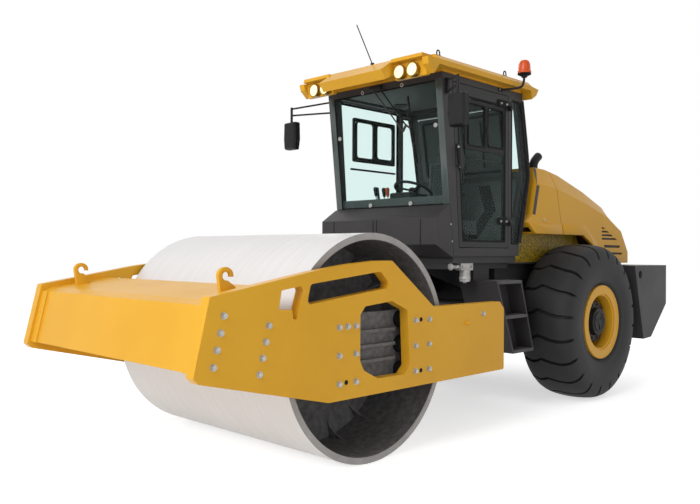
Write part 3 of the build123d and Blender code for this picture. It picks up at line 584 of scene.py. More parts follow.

# a skin of the darker grey inside the drum, from the head out to the edge
drumBowl = {"radii": (0.7995, 0.8015), "reach": (0.4765, 1.083)}
form = bmesh.new()
(inner, outer), (low, high) = drumBowl["radii"], drumBowl["reach"]
for side in (1, -1):
    sleeve = turnedPart([(inner, low), (inner, high), (outer, high), (outer, low), (inner, low)], drumEdge["steps"])
    addPart(form, sleeve, onSide(0, side, *drumEdge["centre"]))
keepPiece("drumBowl", form, [drumInsideGrey], "drum")

# lifting hooks with rounded curls, over the plain cut ones
hooks = {
    "stem": [(3.045, 1.240), (3.0494, 1.2976)],
    "outer": {"centre": (3.008, 1.407), "half": (0.058, 0.053), "from": -8, "to": 190, "steps": 18},
    "inner": {"centre": (3.004, 1.4031), "half": (0.030, 0.028), "from": 191, "to": -90, "steps": 20},
    "heel": [(2.9935, 1.3751), (2.9333, 1.3339), (2.9324, 1.3235), (2.9324, 1.240)],
    "y": 0.985, "thick": 0.030, "soft": 0.003,
}
hookOutline = list(hooks["stem"])
for arc in (hooks["outer"], hooks["inner"]):
    (x, z), (halfX, halfZ) = arc["centre"], arc["half"]
    for i in range(arc["steps"] + 1):
        angle = radians(arc["from"] + (arc["to"] - arc["from"]) * i / arc["steps"])
        hookOutline.append((x + halfX * cos(angle), z + halfZ * sin(angle)))
hookOutline += hooks["heel"]
form = bmesh.new()
for side in (1, -1):
    hook = slabPart(hookOutline, hooks["thick"])
    softenRims(hook, hooks["soft"])
    addPart(form, hook, onSide(hooks["y"] - hooks["thick"] / 2, side))
hookPiece = keepPiece("liftingHooks", form, [machineEnamel], "front_frame")
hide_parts("lifting_hooks")

# tyres: one pitch of the tread is laid out on a grid, with its zigzag groove sunk in, and set round the wheel
tyre = {
    "centre": (-1.75, 0.825), "track": 0.91, "crown": 0.825, "lugs": 20, "grooveDepth": 0.040, "pitchGap": 0.0002,
    # from the bead over the sidewall and round shoulder to the crown, as (half width, radius)
    "profile": [(0.240, 0.335), (0.240, 0.398), (0.256, 0.420), (0.264, 0.428), (0.272, 0.434), (0.277, 0.446),
                (0.278, 0.462), (0.2885, 0.505), (0.2955, 0.550), (0.2985, 0.600), (0.2965, 0.650), (0.2935, 0.678),
                (0.2905, 0.697), (0.284, 0.724), (0.273, 0.750), (0.257, 0.772), (0.236, 0.789), (0.210, 0.801),
                (0.175, 0.811), (0.140, 0.8165), (0.105, 0.820), (0.070, 0.823), (0.035, 0.8245)],
    # the groove runs out between these radii
    "fadeLow": 0.676, "fadeHigh": 0.700,
    # places along one pitch: the three inside the floor's limits are sunk
    "along": [0, 0.12, 0.24, 0.34, 0.395, 0.422, 0.430, 0.442, 0.5, 0.558, 0.570, 0.578, 0.605, 0.66, 0.76, 0.88, 1],
    "floor": (0.441, 0.559),
    # the groove's zigzag, as (place across, shift along) in metres
    "zigzag": [(-0.30, 0.004), (-0.21, 0.0), (-0.13, -0.022), (-0.035, 0.026), (0.09, -0.014), (0.17, -0.032),
               (0.30, -0.032)],
}


def zigzagShift(across):
    for (low, lowShift), (high, highShift) in zip(tyre["zigzag"], tyre["zigzag"][1:]):
        if across <= high:
            return lowShift + (highShift - lowShift) * (across - low) / (high - low)
    return tyre["zigzag"][-1][1]


def tyrePitch():
    section = [(-u, r) for u, r in tyre["profile"]] + [(0, tyre["crown"])] + list(reversed(tyre["profile"]))
    section.append(section[0])
    along = tyre["along"]
    part = bmesh.new()
    columns, rows = len(along) - 1, len(section) - 1
    bmesh.ops.create_grid(part, x_segments=columns, y_segments=rows, size=0.5)
    pitch = tau / tyre["lugs"]
    for vert in part.verts:
        t = along[round((vert.co.x + 0.5) * columns)]
        row = round((vert.co.y + 0.5) * rows)
        u, r = section[row]
        angle = pitch * t + zigzagShift(u) / tyre["crown"]
        if tyre["floor"][0] < t < tyre["floor"][1]:  # groove floor, sunk along the section's own normal
            (u0, r0), (u1, r1) = section[max(row - 1, 0)], section[min(row + 1, rows)]
            run = Vector((u1 - u0, r1 - r0)).normalized()
            share = (r - tyre["fadeLow"]) / (tyre["fadeHigh"] - tyre["fadeLow"])
            sunk = min(max(share, 0), 1) * tyre["grooveDepth"]
            u, r = u + run.y * sunk, r - run.x * sunk
        vert.co = (r * cos(angle), r * sin(angle), u)
    return part


# rim flange, hub bolts and webbed hub cover
wheelHub = {
    "flange": [(0.389, 0.240), (0.391, 0.262), (0.386, 0.269), (0.374, 0.268), (0.366, 0.259), (0.310, 0.247),
               (0.300, 0.253), (0.288, 0.254), (0.280, 0.247), (0.276, 0.225), (0.276, 0.150), (0.296, 0.150)],
    "flangeSteps": 72,
    "capCount": 10, "capPlace": (0.186, 0, 0.18), "capSize": (0.014, 0.016),
    "coverFace": 0.23,
    "cover": [(0, 0.008), (0.030, 0.008), (0.034, 0.004), (0.085, 0.004), (0.088, 0.009), (0.104, 0.009), (0.108, 0)],
    "webCount": 3, "webTurn": 0.4, "web": ((0.036, -0.006, 0), (0.086, 0.006, 0.010), 0.002),
}
for name, side in (("left", 1), ("right", -1)):
    base = onSide(tyre["track"], side, *tyre["centre"])
    form = bmesh.new()
    for i in range(tyre["lugs"]):
        addPart(form, tyrePitch(), base @ roundZ(tau * i / tyre["lugs"]))
    bmesh.ops.remove_doubles(form, verts=form.verts, dist=tyre["pitchGap"])
    bmesh.ops.recalc_face_normals(form, faces=form.faces)
    tyrePiece = keepPiece(name + "Tyre", form, [tyreRubber], name + "_wheel")
    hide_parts("tyre_" + name)
    form = bmesh.new()
    addPart(form, turnedPart(wheelHub["flange"], wheelHub["flangeSteps"]), base, 2)
    for i in range(wheelHub["capCount"]):
        place = base @ roundZ(tau * i / wheelHub["capCount"]) @ shift(wheelHub["capPlace"])
        addPart(form, boltPart(*wheelHub["capSize"]), place, 0)
    coverFace = shift((0, 0, wheelHub["coverFace"]))
    addPart(form, turnedPart(wheelHub["cover"]), base @ coverFace, 1)
    for i in range(wheelHub["webCount"]):
        turn = roundZ(tau * i / wheelHub["webCount"] + wheelHub["webTurn"])
        addPart(form, blockPart(*wheelHub["web"]), base @ turn @ coverFace, 1)
    keepPiece(name + "HubFixings", form, [chassisSatin, grainedPlastic, machineEnamel], name + "_wheel")
print("drum, hooks and wheels done")

# glazing seals: outlines of the panes on their own faces
glazing = {
    "quarter": [(-0.662, 1.640), (-0.662, 3.090), (-0.8487, 3.090), (-0.985, 2.348), (-0.7966, 1.640)],
    "rightSide": [(-0.620, 1.800), (0.2181, 1.800), (0.3213, 3.120), (-0.620, 3.120)],
    "doorPane": [(-0.563, 1.657), (0.150, 1.657), (0.2563, 3.018), (-0.563, 3.018)],
    "bar": 0.018, "proud": 0.009, "corner": 0.03, "face": 0.728,
}


def paneSeal(form, pane, side, finish=0):
    seal = framePart(glazing[pane], glazing["bar"], glazing["proud"], glazing["corner"])
    addPart(form, seal, onSide(glazing["face"], side), finish)


form = bmesh.new()
for side in (1, -1):
    paneSeal(form, "quarter", side)
paneSeal(form, "rightSide", -1)
keepPiece("cabSeals", form, [sealRubber], "rear_frame")

# black-framed sliding window and rail: the same set on the door and on the right side
slidingWindow = {
    "face": 0.712, "thick": 0.022,
    "outer": rectangle((0.114, 2.522), (-0.552, 2.990)), "outerBar": 0.028, "outerCorner": 0.02,
    # bars from corner to corner, and how far each stays inside the frame's faces
    "bars": [((-0.252, 2.545), (-0.213, 2.968), 0.001), ((-0.530, 2.545), (0.092, 2.572), 0.002),
             ((-0.530, 2.952), (0.092, 2.968), 0.002)],
    "panes": [rectangle((0.069, 2.556), (-0.215, 2.962)), rectangle((-0.250, 2.572), (-0.530, 2.958))],
    "paneBar": 0.012, "paneThick": 0.025, "paneCorner": 0.045,
    "latch": ((-0.245, 2.70, 0.022), (-0.222, 2.76, 0.034), 0.003),
    "railFace": 0.702, "railEnds": (0.165, -0.540), "railZ": 2.437, "railRadius": 0.011,
    "railFeet": (0.145, -0.520), "railFootRadius": 0.009, "railFootHeight": 0.020,
}


def windowSet(form, side):
    base = onSide(slidingWindow["face"], side)
    thick = slidingWindow["thick"]
    outer = framePart(slidingWindow["outer"], slidingWindow["outerBar"], thick, slidingWindow["outerCorner"])
    addPart(form, outer, base)
    for low, high, inside in slidingWindow["bars"]:
        addPart(form, blockPart((*low, inside), (*high, thick - inside), smallEdge), base)
    for outline in slidingWindow["panes"]:
        pane = framePart(outline, slidingWindow["paneBar"], slidingWindow["paneThick"], slidingWindow["paneCorner"])
        addPart(form, pane, base, 1)
    addPart(form, blockPart(*slidingWindow["latch"]), base)
    base = onSide(slidingWindow["railFace"], side)
    (front, rear), z = slidingWindow["railEnds"], slidingWindow["railZ"]
    addPart(form, rodPart((front, z, 0), (rear, z, 0), slidingWindow["railRadius"], soft=softEdge), base)
    for x in slidingWindow["railFeet"]:
        foot = rodPart((x, z, 0), (x, z, slidingWindow["railFootHeight"]), slidingWindow["railFootRadius"])
        addPart(form, foot, base)


form = bmesh.new()
windowSet(form, -1)
keepPiece("rightWindowSet", form, [grainedPlastic, sealRubber], "rear_frame")

# the door's own set, with the handle's plate and paddle
doorHandle = {
    "face": 0.7352, "thick": 0.010, "corner": 0.014,
    "plate": [(0.256, 2.556), (0.198, 2.552), (0.152, 2.485), (0.134, 2.405), (0.146, 2.316), (0.206, 2.306)],
    "paddle": ((0.150, 2.38, 0.010), (0.196, 2.47, 0.018), 0.003),
    "bolts": [(0.236, 2.524), (0.212, 2.350)], "boltFace": 0.745, "boltSize": (0.013, 0.010),
}
form = bmesh.new()
windowSet(form, 1)
paneSeal(form, "doorPane", 1, 1)
plate = slabPart(doorHandle["plate"], doorHandle["thick"], doorHandle["corner"], smallEdge)
for part in (plate, blockPart(*doorHandle["paddle"])):
    addPart(form, part, onSide(doorHandle["face"], 1))
for x, z in doorHandle["bolts"]:
    addPart(form, boltPart(*doorHandle["boltSize"]), onSide(doorHandle["boltFace"], 1, x, z), 2)
keepPiece("doorTrim", form, [grainedPlastic, sealRubber, zincPlate], "cab_door")

# round-ended hinge plates: the long half on the door, the short half on the cab post
hingePlates = {
    "levels": (3.026, 1.866), "face": 0.7352, "thick": 0.009,
    "halves": [
        {"piece": "doorHingePlates", "body": "cab_door", "ends": (-0.410, -0.600), "half": 0.036, "corner": 0.028,
         "bolts": (-0.470, -0.566), "boltSize": (0.012, 0.010)},
        {"piece": "postHingePlates", "body": "rear_frame", "ends": (-0.642, -0.668), "half": 0.03, "corner": 0.008,
         "bolts": (-0.655,), "boltSize": (0.010, 0.008)},
    ],
}
for row in hingePlates["halves"]:
    form = bmesh.new()
    (front, rear), half = row["ends"], row["half"]
    for z in hingePlates["levels"]:
        outline = [(front, z - half), (front, z + half), (rear, z + half), (rear, z - half)]
        leaf = slabPart(outline, hingePlates["thick"], row["corner"], smallEdge)
        addPart(form, leaf, onSide(hingePlates["face"], 1))
        for x in row["bolts"]:
            place = onSide(hingePlates["face"] + hingePlates["thick"], 1, x, z)
            addPart(form, boltPart(*row["boltSize"]), place, 1)
    keepPiece(row["piece"], form, [sealRubber, zincPlate], row["body"])
print("door and side windows done")

# windscreen: buttons, edge seal, lower band and borders over the posts, drawn as (y, height up the glass)
slope = Vector((0.186, 0, 1.656)).normalized()
windscreen = {
    "foot": (0.282, 0, 1.524),
    "buttons": [(0.255, 1.615), (-0.255, 1.615), (0.26, 0.500), (-0.26, 0.500), (0.62, 1.20), (-0.62, 1.20)],
    "button": [(0.022, 0), (0.022, 0.006), (0.018, 0.010), (0.010, 0.010), (0.009, 0.007), (0, 0.007)],
    "edge": rectangle((-0.690, 0.471), (0.690, 1.604)),
    "border": rectangle((0.655, 0.474), (0.727, 1.612)),
    "band": rectangle((-0.69, 0.472), (0.69, 0.560)),
    "edgeBar": 0.014, "edgeCorner": 0.03, "borderCorner": 0.012,
    # thickness of each, and how deep it lies behind the glass's face
    "edgeThick": 0.010, "borderThick": 0.005, "bandThick": 0.004,
    "buttonDepth": 0.008, "edgeDepth": 0.010, "borderDepth": 0.001, "bandDepth": 0.030,
}
screenBase = placeOn(windscreen["foot"], (0, 1, 0), slope, (slope.z, 0, -slope.x))
form = bmesh.new()
for y, up in windscreen["buttons"]:
    addPart(form, turnedPart(windscreen["button"], 24), screenBase @ shift((y, up, -windscreen["buttonDepth"])), 1)
edge = framePart(windscreen["edge"], windscreen["edgeBar"], windscreen["edgeThick"], windscreen["edgeCorner"])
addPart(form, edge, screenBase @ shift((0, 0, -windscreen["edgeDepth"])))
for side in (1, -1):
    outline = [(side * y, up) for y, up in windscreen["border"]]
    border = slabPart(outline, windscreen["borderThick"], windscreen["borderCorner"], smallEdge)
    addPart(form, border, screenBase @ shift((0, 0, -windscreen["borderDepth"])), 3)
band = slabPart(windscreen["band"], windscreen["bandThick"])
addPart(form, band, screenBase @ shift((0, 0, -windscreen["bandDepth"])), 2)
keepPiece("windscreenFixings", form, [sealRubber, zincPlate, cabLining, borderGlass], "rear_frame")

# wiper: motor, two arms, knuckle, link and bow as rods, and a blade with clips
wiper = {
    "motor": ((-0.13, 1.612, 0.004), (0.02, 1.652, 0.040), 0.008),
    # start, end, both radii, soft rim and finish
    "rods": [
        ((-0.010, 1.640, 0.034), (0.292, 1.243, 0.030), 0.007, 0.007, 0, 0),
        ((-0.086, 1.622, 0.034), (0.258, 1.182, 0.030), 0.007, 0.007, 0, 1),
        ((0.258, 1.182, 0.030), (0.300, 1.236, 0.030), 0.012, 0.012, 0.003, 1),
        ((0.292, 1.243, 0.030), (0.345, 1.200, 0.026), 0.009, 0.009, 0, 1),
        ((0.318, 1.380, 0.024), (0.362, 1.010, 0.024), 0.007, 0.005, 0, 0),
    ],
    "blade": ((0.330, 1.500, 0.012), (0.388, 0.872, 0.012)), "bladeHalf": 0.007, "bladeDepth": 0.008,
    "clips": (0.2, 0.45, 0.7), "clip": ((-0.011, -0.012, -0.002), (0.011, 0.012, 0.016), 0.003),
}
form = bmesh.new()
addPart(form, blockPart(*wiper["motor"]), screenBase)
for start, end, radius, endRadius, soft, finish in wiper["rods"]:
    addPart(form, rodPart(start, end, radius, endRadius, soft=soft), screenBase, finish)
start, end = (Vector(point) for point in wiper["blade"])
run, half, depth = end - start, wiper["bladeHalf"], wiper["bladeDepth"]
blade = blockPart((-half, 0, -depth), (half, run.length, depth), smallEdge)
addPart(form, blade, screenBase @ placeOn(start, run.cross(Vector((0, 0, 1))), run, (0, 0, 1)), 2)
for along in wiper["clips"]:
    addPart(form, blockPart(*wiper["clip"]), screenBase @ shift(start.lerp(end, along)))
wiperPiece = keepPiece("wiperSet", form, [grainedPlastic, chassisSatin, sealRubber], "rear_frame")
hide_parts("wiper")
print("windscreen done")

# seams of the front cowl's nose and screws in its sides
cowlTrim = {
    "nose": 0.5505, "seams": (-0.56, -0.022, 0.022, 0.56),
    "seam": ((-0.004, 1.632, -0.002), (0.004, 1.862, 0.0035), 0.0015),
    "side": 0.735, "screws": [(0.331, 1.813), (0.311, 1.658)], "screwSize": (0.009, 0.007),
}
form = bmesh.new()
for y in cowlTrim["seams"]:
    addPart(form, blockPart(*cowlTrim["seam"]), onFront(cowlTrim["nose"], y))
for side in (1, -1):
    for x, z in cowlTrim["screws"]:
        addPart(form, boltPart(*cowlTrim["screwSize"]), onSide(cowlTrim["side"], side, x, z), 1)
keepPiece("cowlTrim", form, [grainedPlastic, zincPlate], "rear_frame")

# bowls and lenses of the roof lamps, and lifting eyes on the roof
roofTrim = {
    "lampX": 0.766, "lampY": (0.633, 0.483), "lampZ": 3.162,
    "bowl": [(0.0575, -0.05), (0.061, -0.05), (0.066, -0.012), (0.066, 0.004), (0.063, 0.008), (0.0565, 0.007),
             (0.056, 0)],
    "lens": [(0.0565, 0.0), (0.045, 0.007), (0.025, 0.011), (0, 0.0125)],
    "eyeX": (-0.50, 0.56), "eyeY": 0.762, "eyeFoot": ((-0.03, -0.012, 3.292), (0.03, 0.012, 3.300), 0.002),
    "eye": [(-0.020, 0, 3.296), (-0.024, 0, 3.330), (0, 0, 3.348), (0.024, 0, 3.330), (0.020, 0, 3.296)],
    "eyeWire": 0.006,
}
form = bmesh.new()
for side in (1, -1):
    for y in roofTrim["lampY"]:
        place = onFront(roofTrim["lampX"], side * y, roofTrim["lampZ"])
        addPart(form, turnedPart(roofTrim["bowl"]), place, 0)
        addPart(form, turnedPart(roofTrim["lens"]), place, 1)
    for x in roofTrim["eyeX"]:
        place = shift((x, side * roofTrim["eyeY"], 0))
        addPart(form, blockPart(*roofTrim["eyeFoot"]), place, 2)
        addPart(form, tubePart(roofTrim["eye"], roofTrim["eyeWire"]), place, 2)
keepPiece("roofTrim", form, [lampBowl, lampLensPaintedGlow, grainedPlastic], "rear_frame")

# edge tubes and latches at the back of the quarter panes
quarterEdges = {
    "tubeY": 0.738, "tube": 0.011,
    "line": [(-0.868, 3.105), (-0.930, 2.80), (-0.998, 2.40), (-0.985, 2.28), (-0.83, 1.66)],
    "latches": ((-0.880, 2.93), (-0.957, 2.50), (-0.914, 2.10)), "latchY": 0.739,
    "latch": ((-0.03, -0.008, -0.012), (0.012, 0.008, 0.012), 0.003),
}
form = bmesh.new()
for side in (1, -1):
    line = [(x, side * quarterEdges["tubeY"], z) for x, z in quarterEdges["line"]]
    addPart(form, tubePart(line, quarterEdges["tube"]))
    for x, z in quarterEdges["latches"]:
        addPart(form, blockPart(*quarterEdges["latch"]), shift((x, side * quarterEdges["latchY"], z)))
keepPiece("quarterEdges", form, [grainedPlastic], "rear_frame")

# beacon: fluted amber dome on a dark base ring and collar, standing on a bent pole with a bolted foot
beacon = {
    "place": (-0.656, 0.887, 3.318),
    "dome": [(0.058, 0.008), (0.066, 0.010), (0.067, 0.030), (0.058, 0.038), (0.056, 0.070), (0.053, 0.105),
             (0.047, 0.123), (0.038, 0.134), (0.022, 0.141), (0, 0.143)],
    "ring": [(0, -0.012), (0.05, -0.010), (0.066, -0.002), (0.066, 0.010), (0.05, 0.012), (0, 0.012)],
    "collar": [(0, -0.03), (0.026, -0.03), (0.030, -0.026), (0.034, -0.012), (0, -0.008)],
    "fluteCount": 12, "flute": ((0.0565, 0, 0.042), (0.0530, 0, 0.104), 0.0035, 0.003, 10),
    "pole": [(-0.472, 0.739, 3.158), (-0.50, 0.80, 3.158), (-0.585, 0.862, 3.176), (-0.650, 0.887, 3.205),
             (-0.656, 0.887, 3.31)],
    "poleRadius": 0.012, "foot": ((-0.515, 0.735, 3.142), (-0.430, 0.743, 3.176), 0.003),
    "bolts": (-0.503, -0.444), "boltZ": 3.158, "boltFace": 0.743, "boltSize": (0.009, 0.008),
}
form = bmesh.new()
base = shift(beacon["place"])
for finish, (name, steps) in enumerate((("dome", 48), ("ring", 48), ("collar", 32))):
    addPart(form, turnedPart(beacon[name], steps), base, finish)
for i in range(beacon["fluteCount"]):
    addPart(form, rodPart(*beacon["flute"]), base @ roundZ(tau * i / beacon["fluteCount"]), 0)
addPart(form, tubePart(beacon["pole"], beacon["poleRadius"]), None, 2)
addPart(form, blockPart(*beacon["foot"]), None, 2)
for x in beacon["bolts"]:
    addPart(form, boltPart(*beacon["boltSize"]), onSide(beacon["boltFace"], 1, x, beacon["boltZ"]), 3)
beaconSet = keepPiece("beaconSet", form, [amberLens, sealRubber, grainedPlastic, zincPlate], "rear_frame")
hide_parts("beacon")

# mirror glass in a thin frame on the backs of the housings
mirrorGlass = {
    "face": 0.643, "y": 1.065, "low": 2.650, "high": 2.880, "half": 0.072, "corner": 0.018,
    "thick": 0.003, "bar": 0.006, "barThick": 0.006,
}
form = bmesh.new()
for side in (1, -1):
    y, half = side * mirrorGlass["y"], mirrorGlass["half"]
    outline = rectangle((y - half, mirrorGlass["low"]), (y + half, mirrorGlass["high"]))
    glass = slabPart(outline, mirrorGlass["thick"], mirrorGlass["corner"])
    rim = framePart(outline, mirrorGlass["bar"], mirrorGlass["barThick"], mirrorGlass["corner"])
    for finish, part in enumerate((glass, rim)):
        addPart(form, part, onRear(mirrorGlass["face"]), finish)
keepPiece("mirrorGlass", form, [mirrorSilver, grainedPlastic], "rear_frame")
print("roof, beacon and mirrors done")

# engine cover: pressed lips along the lower edges, dark strip at the front, latch, louvre blades and dark sheets
# behind them, which are painted shade
hoodTrim = {
    # the lips' thickness, corner and soft edge
    "face": 0.769, "lip": (0.013, 0.006, 0.008),
    "cowlLip": [(-0.905, 1.874), (-1.060, 1.760), (-1.622, 1.760), (-1.594, 1.866), (-1.084, 1.862)],
    "hoodLip": [(-1.652, 1.760), (-2.088, 1.760), (-2.318, 1.656), (-2.524, 1.446), (-2.610, 1.446), (-2.395, 1.700),
                (-2.135, 1.872), (-1.624, 1.866)],
    "strip": [(-1.094, 2.262), (-1.146, 2.254), (-1.068, 1.952), (-1.014, 1.956)],
    "topStrip": [(-1.0945, 0.772, 2.268), (-1.1465, 0.772, 2.258), (-1.186, 0.702, 2.450), (-1.136, 0.702, 2.452)],
    "stripThick": 0.004, "stripCorner": 0.004,
    "latch": (-1.24, 1.905), "latchSize": (0.014, 0.012),
    # blades as (rear end, front end, lower edge, upper edge), on a face inside the cover
    "bladeFace": 0.754, "bladeThick": 0.012,
    "blades": [(-2.940, -2.572, 1.720, 1.725), (-2.840, -2.572, 1.762, 1.767), (-2.736, -2.572, 1.804, 1.809),
               (-2.632, -2.572, 1.846, 1.851), (-3.052, -2.628, 1.635, 1.641), (-3.115, -2.752, 1.552, 1.558)],
    # dark sheets behind the louvre blades: painted shade in the gaps between the blades
    "louvreShadeFace": 0.744, "louvreShadeThick": 0.003,
    "louvreShadeSheets": [[(-2.556, 1.705), (-2.556, 1.890), (-2.99, 1.705)],
              [(-2.60, 1.660), (-3.085, 1.656), (-3.065, 1.612), (-2.62, 1.612)],
              [(-2.72, 1.576), (-3.135, 1.570), (-3.13, 1.532), (-2.75, 1.534)]],
}
form = bmesh.new()
hoodForm = bmesh.new()
for side in (1, -1):
    base = onSide(hoodTrim["face"], side)
    addPart(form, slabPart(hoodTrim["cowlLip"], *hoodTrim["lip"]), base, 0)
    addPart(hoodForm, slabPart(hoodTrim["hoodLip"], *hoodTrim["lip"]), base, 0)
    addPart(form, slabPart(hoodTrim["strip"], hoodTrim["stripThick"], hoodTrim["stripCorner"]), base, 1)
    part = bmesh.new()
    part.faces.new([part.verts.new((x, side * y, z)) for x, y, z in hoodTrim["topStrip"]])
    bmesh.ops.solidify(part, geom=part.faces[:], thickness=hoodTrim["stripThick"])
    addPart(form, part, None, 1)
    addPart(form, boltPart(*hoodTrim["latchSize"]), base @ shift((*hoodTrim["latch"], 0)), 2)
    for rear, front, low, high in hoodTrim["blades"]:
        blade = blockPart((rear, low, 0), (front, high, hoodTrim["bladeThick"]), fineEdge)
        addPart(hoodForm, blade, onSide(hoodTrim["bladeFace"], side), 1)
    # the dark sheets behind the blades are painted shade
    for outline in hoodTrim["louvreShadeSheets"]:
        addPart(hoodForm, slabPart(outline, hoodTrim["louvreShadeThick"]), onSide(hoodTrim["louvreShadeFace"], side), 1)
keepPiece("cowlTrimStrips", form, [machineEnamel, chassisSatin, zincPlate], "rear_frame")

# the hood's rear grille, tail lamps and handle
rearGrille = {
    "low": Vector((-3.050, 0, 1.8552)), "high": Vector((-2.722, 0, 2.0811)), "half": 0.46,
    "sunk": 0.002, "corner": 0.03, "bar": 0.024, "proud": 0.010, "back": 0.003,
    "slats": 11, "slatInset": 0.028, "slatHalf": 0.006, "slatThick": 0.004, "slatTilt": 24,
    "slatFoot": 0.002, "firstSlat": 0.8, "slatSpan": 11.6,
}
tailLamps = {
    "place": (-3.263, 0.60, 1.505),
    "blocks": [((-0.085, -0.045, -0.002), (0.085, 0.045, 0.014), 1),
               ((-0.078, -0.038, 0.010), (0.000, 0.038, 0.022), 3),
               ((0.004, -0.038, 0.010), (0.078, 0.038, 0.022), 4)],
    "soft": 0.006,
}
hoodHandle = {
    "x": (-3.250, -3.292), "z": 1.53, "half": 0.112, "radius": 0.009, "feet": (-0.10, 0.10), "footRadius": 0.008,
}
up = rearGrille["high"] - rearGrille["low"]
half, length = rearGrille["half"], up.length
grilleBase = placeOn(rearGrille["low"], (0, 1, 0), up, (-up.z, 0, up.x))
outline = rectangle((-half, 0), (half, length))
for part in (framePart(outline, rearGrille["bar"], rearGrille["proud"], rearGrille["corner"]),
             slabPart(outline, rearGrille["back"], rearGrille["corner"])):
    addPart(hoodForm, part, grilleBase @ shift((0, 0, -rearGrille["sunk"])), 1)
across, slatHalf = half - rearGrille["slatInset"], rearGrille["slatHalf"]
for i in range(rearGrille["slats"]):
    slat = blockPart((-across, -slatHalf, 0), (across, slatHalf, rearGrille["slatThick"]), fineEdge)
    place = shift((0, length * (i + rearGrille["firstSlat"]) / rearGrille["slatSpan"], rearGrille["slatFoot"]))
    addPart(hoodForm, slat, grilleBase @ place @ Matrix.Rotation(radians(rearGrille["slatTilt"]), 4, "X"), 2)
x, y, z = tailLamps["place"]
for side in (1, -1):
    for low, high, finish in tailLamps["blocks"]:
        addPart(hoodForm, blockPart(low, high, tailLamps["soft"]), onRear(x, side * y, z), finish)
(front, rear), z, half = hoodHandle["x"], hoodHandle["z"], hoodHandle["half"]
for y in hoodHandle["feet"]:
    addPart(hoodForm, rodPart((front, y, z), (rear, y, z), hoodHandle["footRadius"]), None, 1)
addPart(hoodForm, rodPart((rear, -half, z), (rear, half, z), hoodHandle["radius"], soft=softEdge), None, 1)
hoodFinishes = [machineEnamel, chassisSatin, grainedPlastic, redLens, amberLens]
keepPiece("hoodTrim", hoodForm, hoodFinishes, "hood")
print("hood trim done")

# light anti-slip nosings and cleats on the step treads, as (front, rear, underside)
stepNosings = {
    "treads": ((-0.1014, -0.529, 1.262), (-0.236, -0.638, 0.930), (-0.373, -0.749, 0.592)),
    # heights over a tread's underside
    "nosingY": (0.935, 0.953), "nosingZ": (-0.001, 0.031), "nosingInset": 0.012,
    "cleatY": (0.795, 0.929), "cleatZ": (0.027, 0.032), "cleatInset": 0.05, "cleatHalf": 0.008, "cleats": 7,
}
form = bmesh.new()
for front, rear, under in stepNosings["treads"]:
    (inner, outer), (low, high), inset = (stepNosings[key] for key in ("nosingY", "nosingZ", "nosingInset"))
    addPart(form, blockPart((rear + inset, inner, under + low), (front - inset, outer, under + high), softEdge))
    (inner, outer), (low, high), inset = (stepNosings[key] for key in ("cleatY", "cleatZ", "cleatInset"))
    half, run = stepNosings["cleatHalf"], front - rear - 2 * inset
    for i in range(stepNosings["cleats"]):
        x = rear + inset + run * i / (stepNosings["cleats"] - 1)
        addPart(form, blockPart((x - half, inner, under + low), (x + half, outer, under + high), fineEdge))
keepPiece("stepNosings", form, [treadPlate], "rear_frame")

# fittings of the hydraulic filter: head bolts, canister band, drain plug and a short flanged pipe
filterFittings = {
    "headFace": 0.705, "headBolts": ((-0.035, 1.424), (0.105, 1.424)), "headBoltSize": (0.012, 0.012),
    "band": [(0.052, 0), (0.054, 0.006), (0.054, 0.022), (0.052, 0.028)], "bandPlace": (0.035, 0.680, 1.300),
    "drain": [(0, 0), (0.018, 0), (0.020, 0.004), (0.020, 0.012), (0.012, 0.016), (0, 0.016)],
    "drainPlace": (0.035, 0.680, 1.284),
    # nut, pipe and flange, as (start, end, both radii, sides, finish) along the pipe's axis
    "pipeAxis": (0.668, 1.425),
    "pipe": [(0.125, 0.175, 0.026, 0.024, 6, 1), (0.165, 0.235, 0.020, 0.020, 20, 0),
             (0.235, 0.247, 0.033, 0.033, 28, 0)],
    "flangeFace": 0.247, "flangeBolts": (-0.022, 0.022), "flangeBoltSize": (0.008, 0.008),
}
form = bmesh.new()
for x, z in filterFittings["headBolts"]:
    addPart(form, boltPart(*filterFittings["headBoltSize"]), onSide(filterFittings["headFace"], 1, x, z), 1)
addPart(form, turnedPart(filterFittings["band"]), shift(filterFittings["bandPlace"]), 0)
addPart(form, turnedPart(filterFittings["drain"], 6), onUnder(*filterFittings["drainPlace"]), 1)
y, z = filterFittings["pipeAxis"]
for start, end, radius, endRadius, sides, finish in filterFittings["pipe"]:
    addPart(form, rodPart((start, y, z), (end, y, z), radius, endRadius, sides, softEdge), None, finish)
for up in filterFittings["flangeBolts"]:
    addPart(form, boltPart(*filterFittings["flangeBoltSize"]), onFront(filterFittings["flangeFace"], y, z + up), 1)
keepPiece("filterFittings", form, [castAluminium, zincPlate], "rear_frame")
print("steps and filter done")

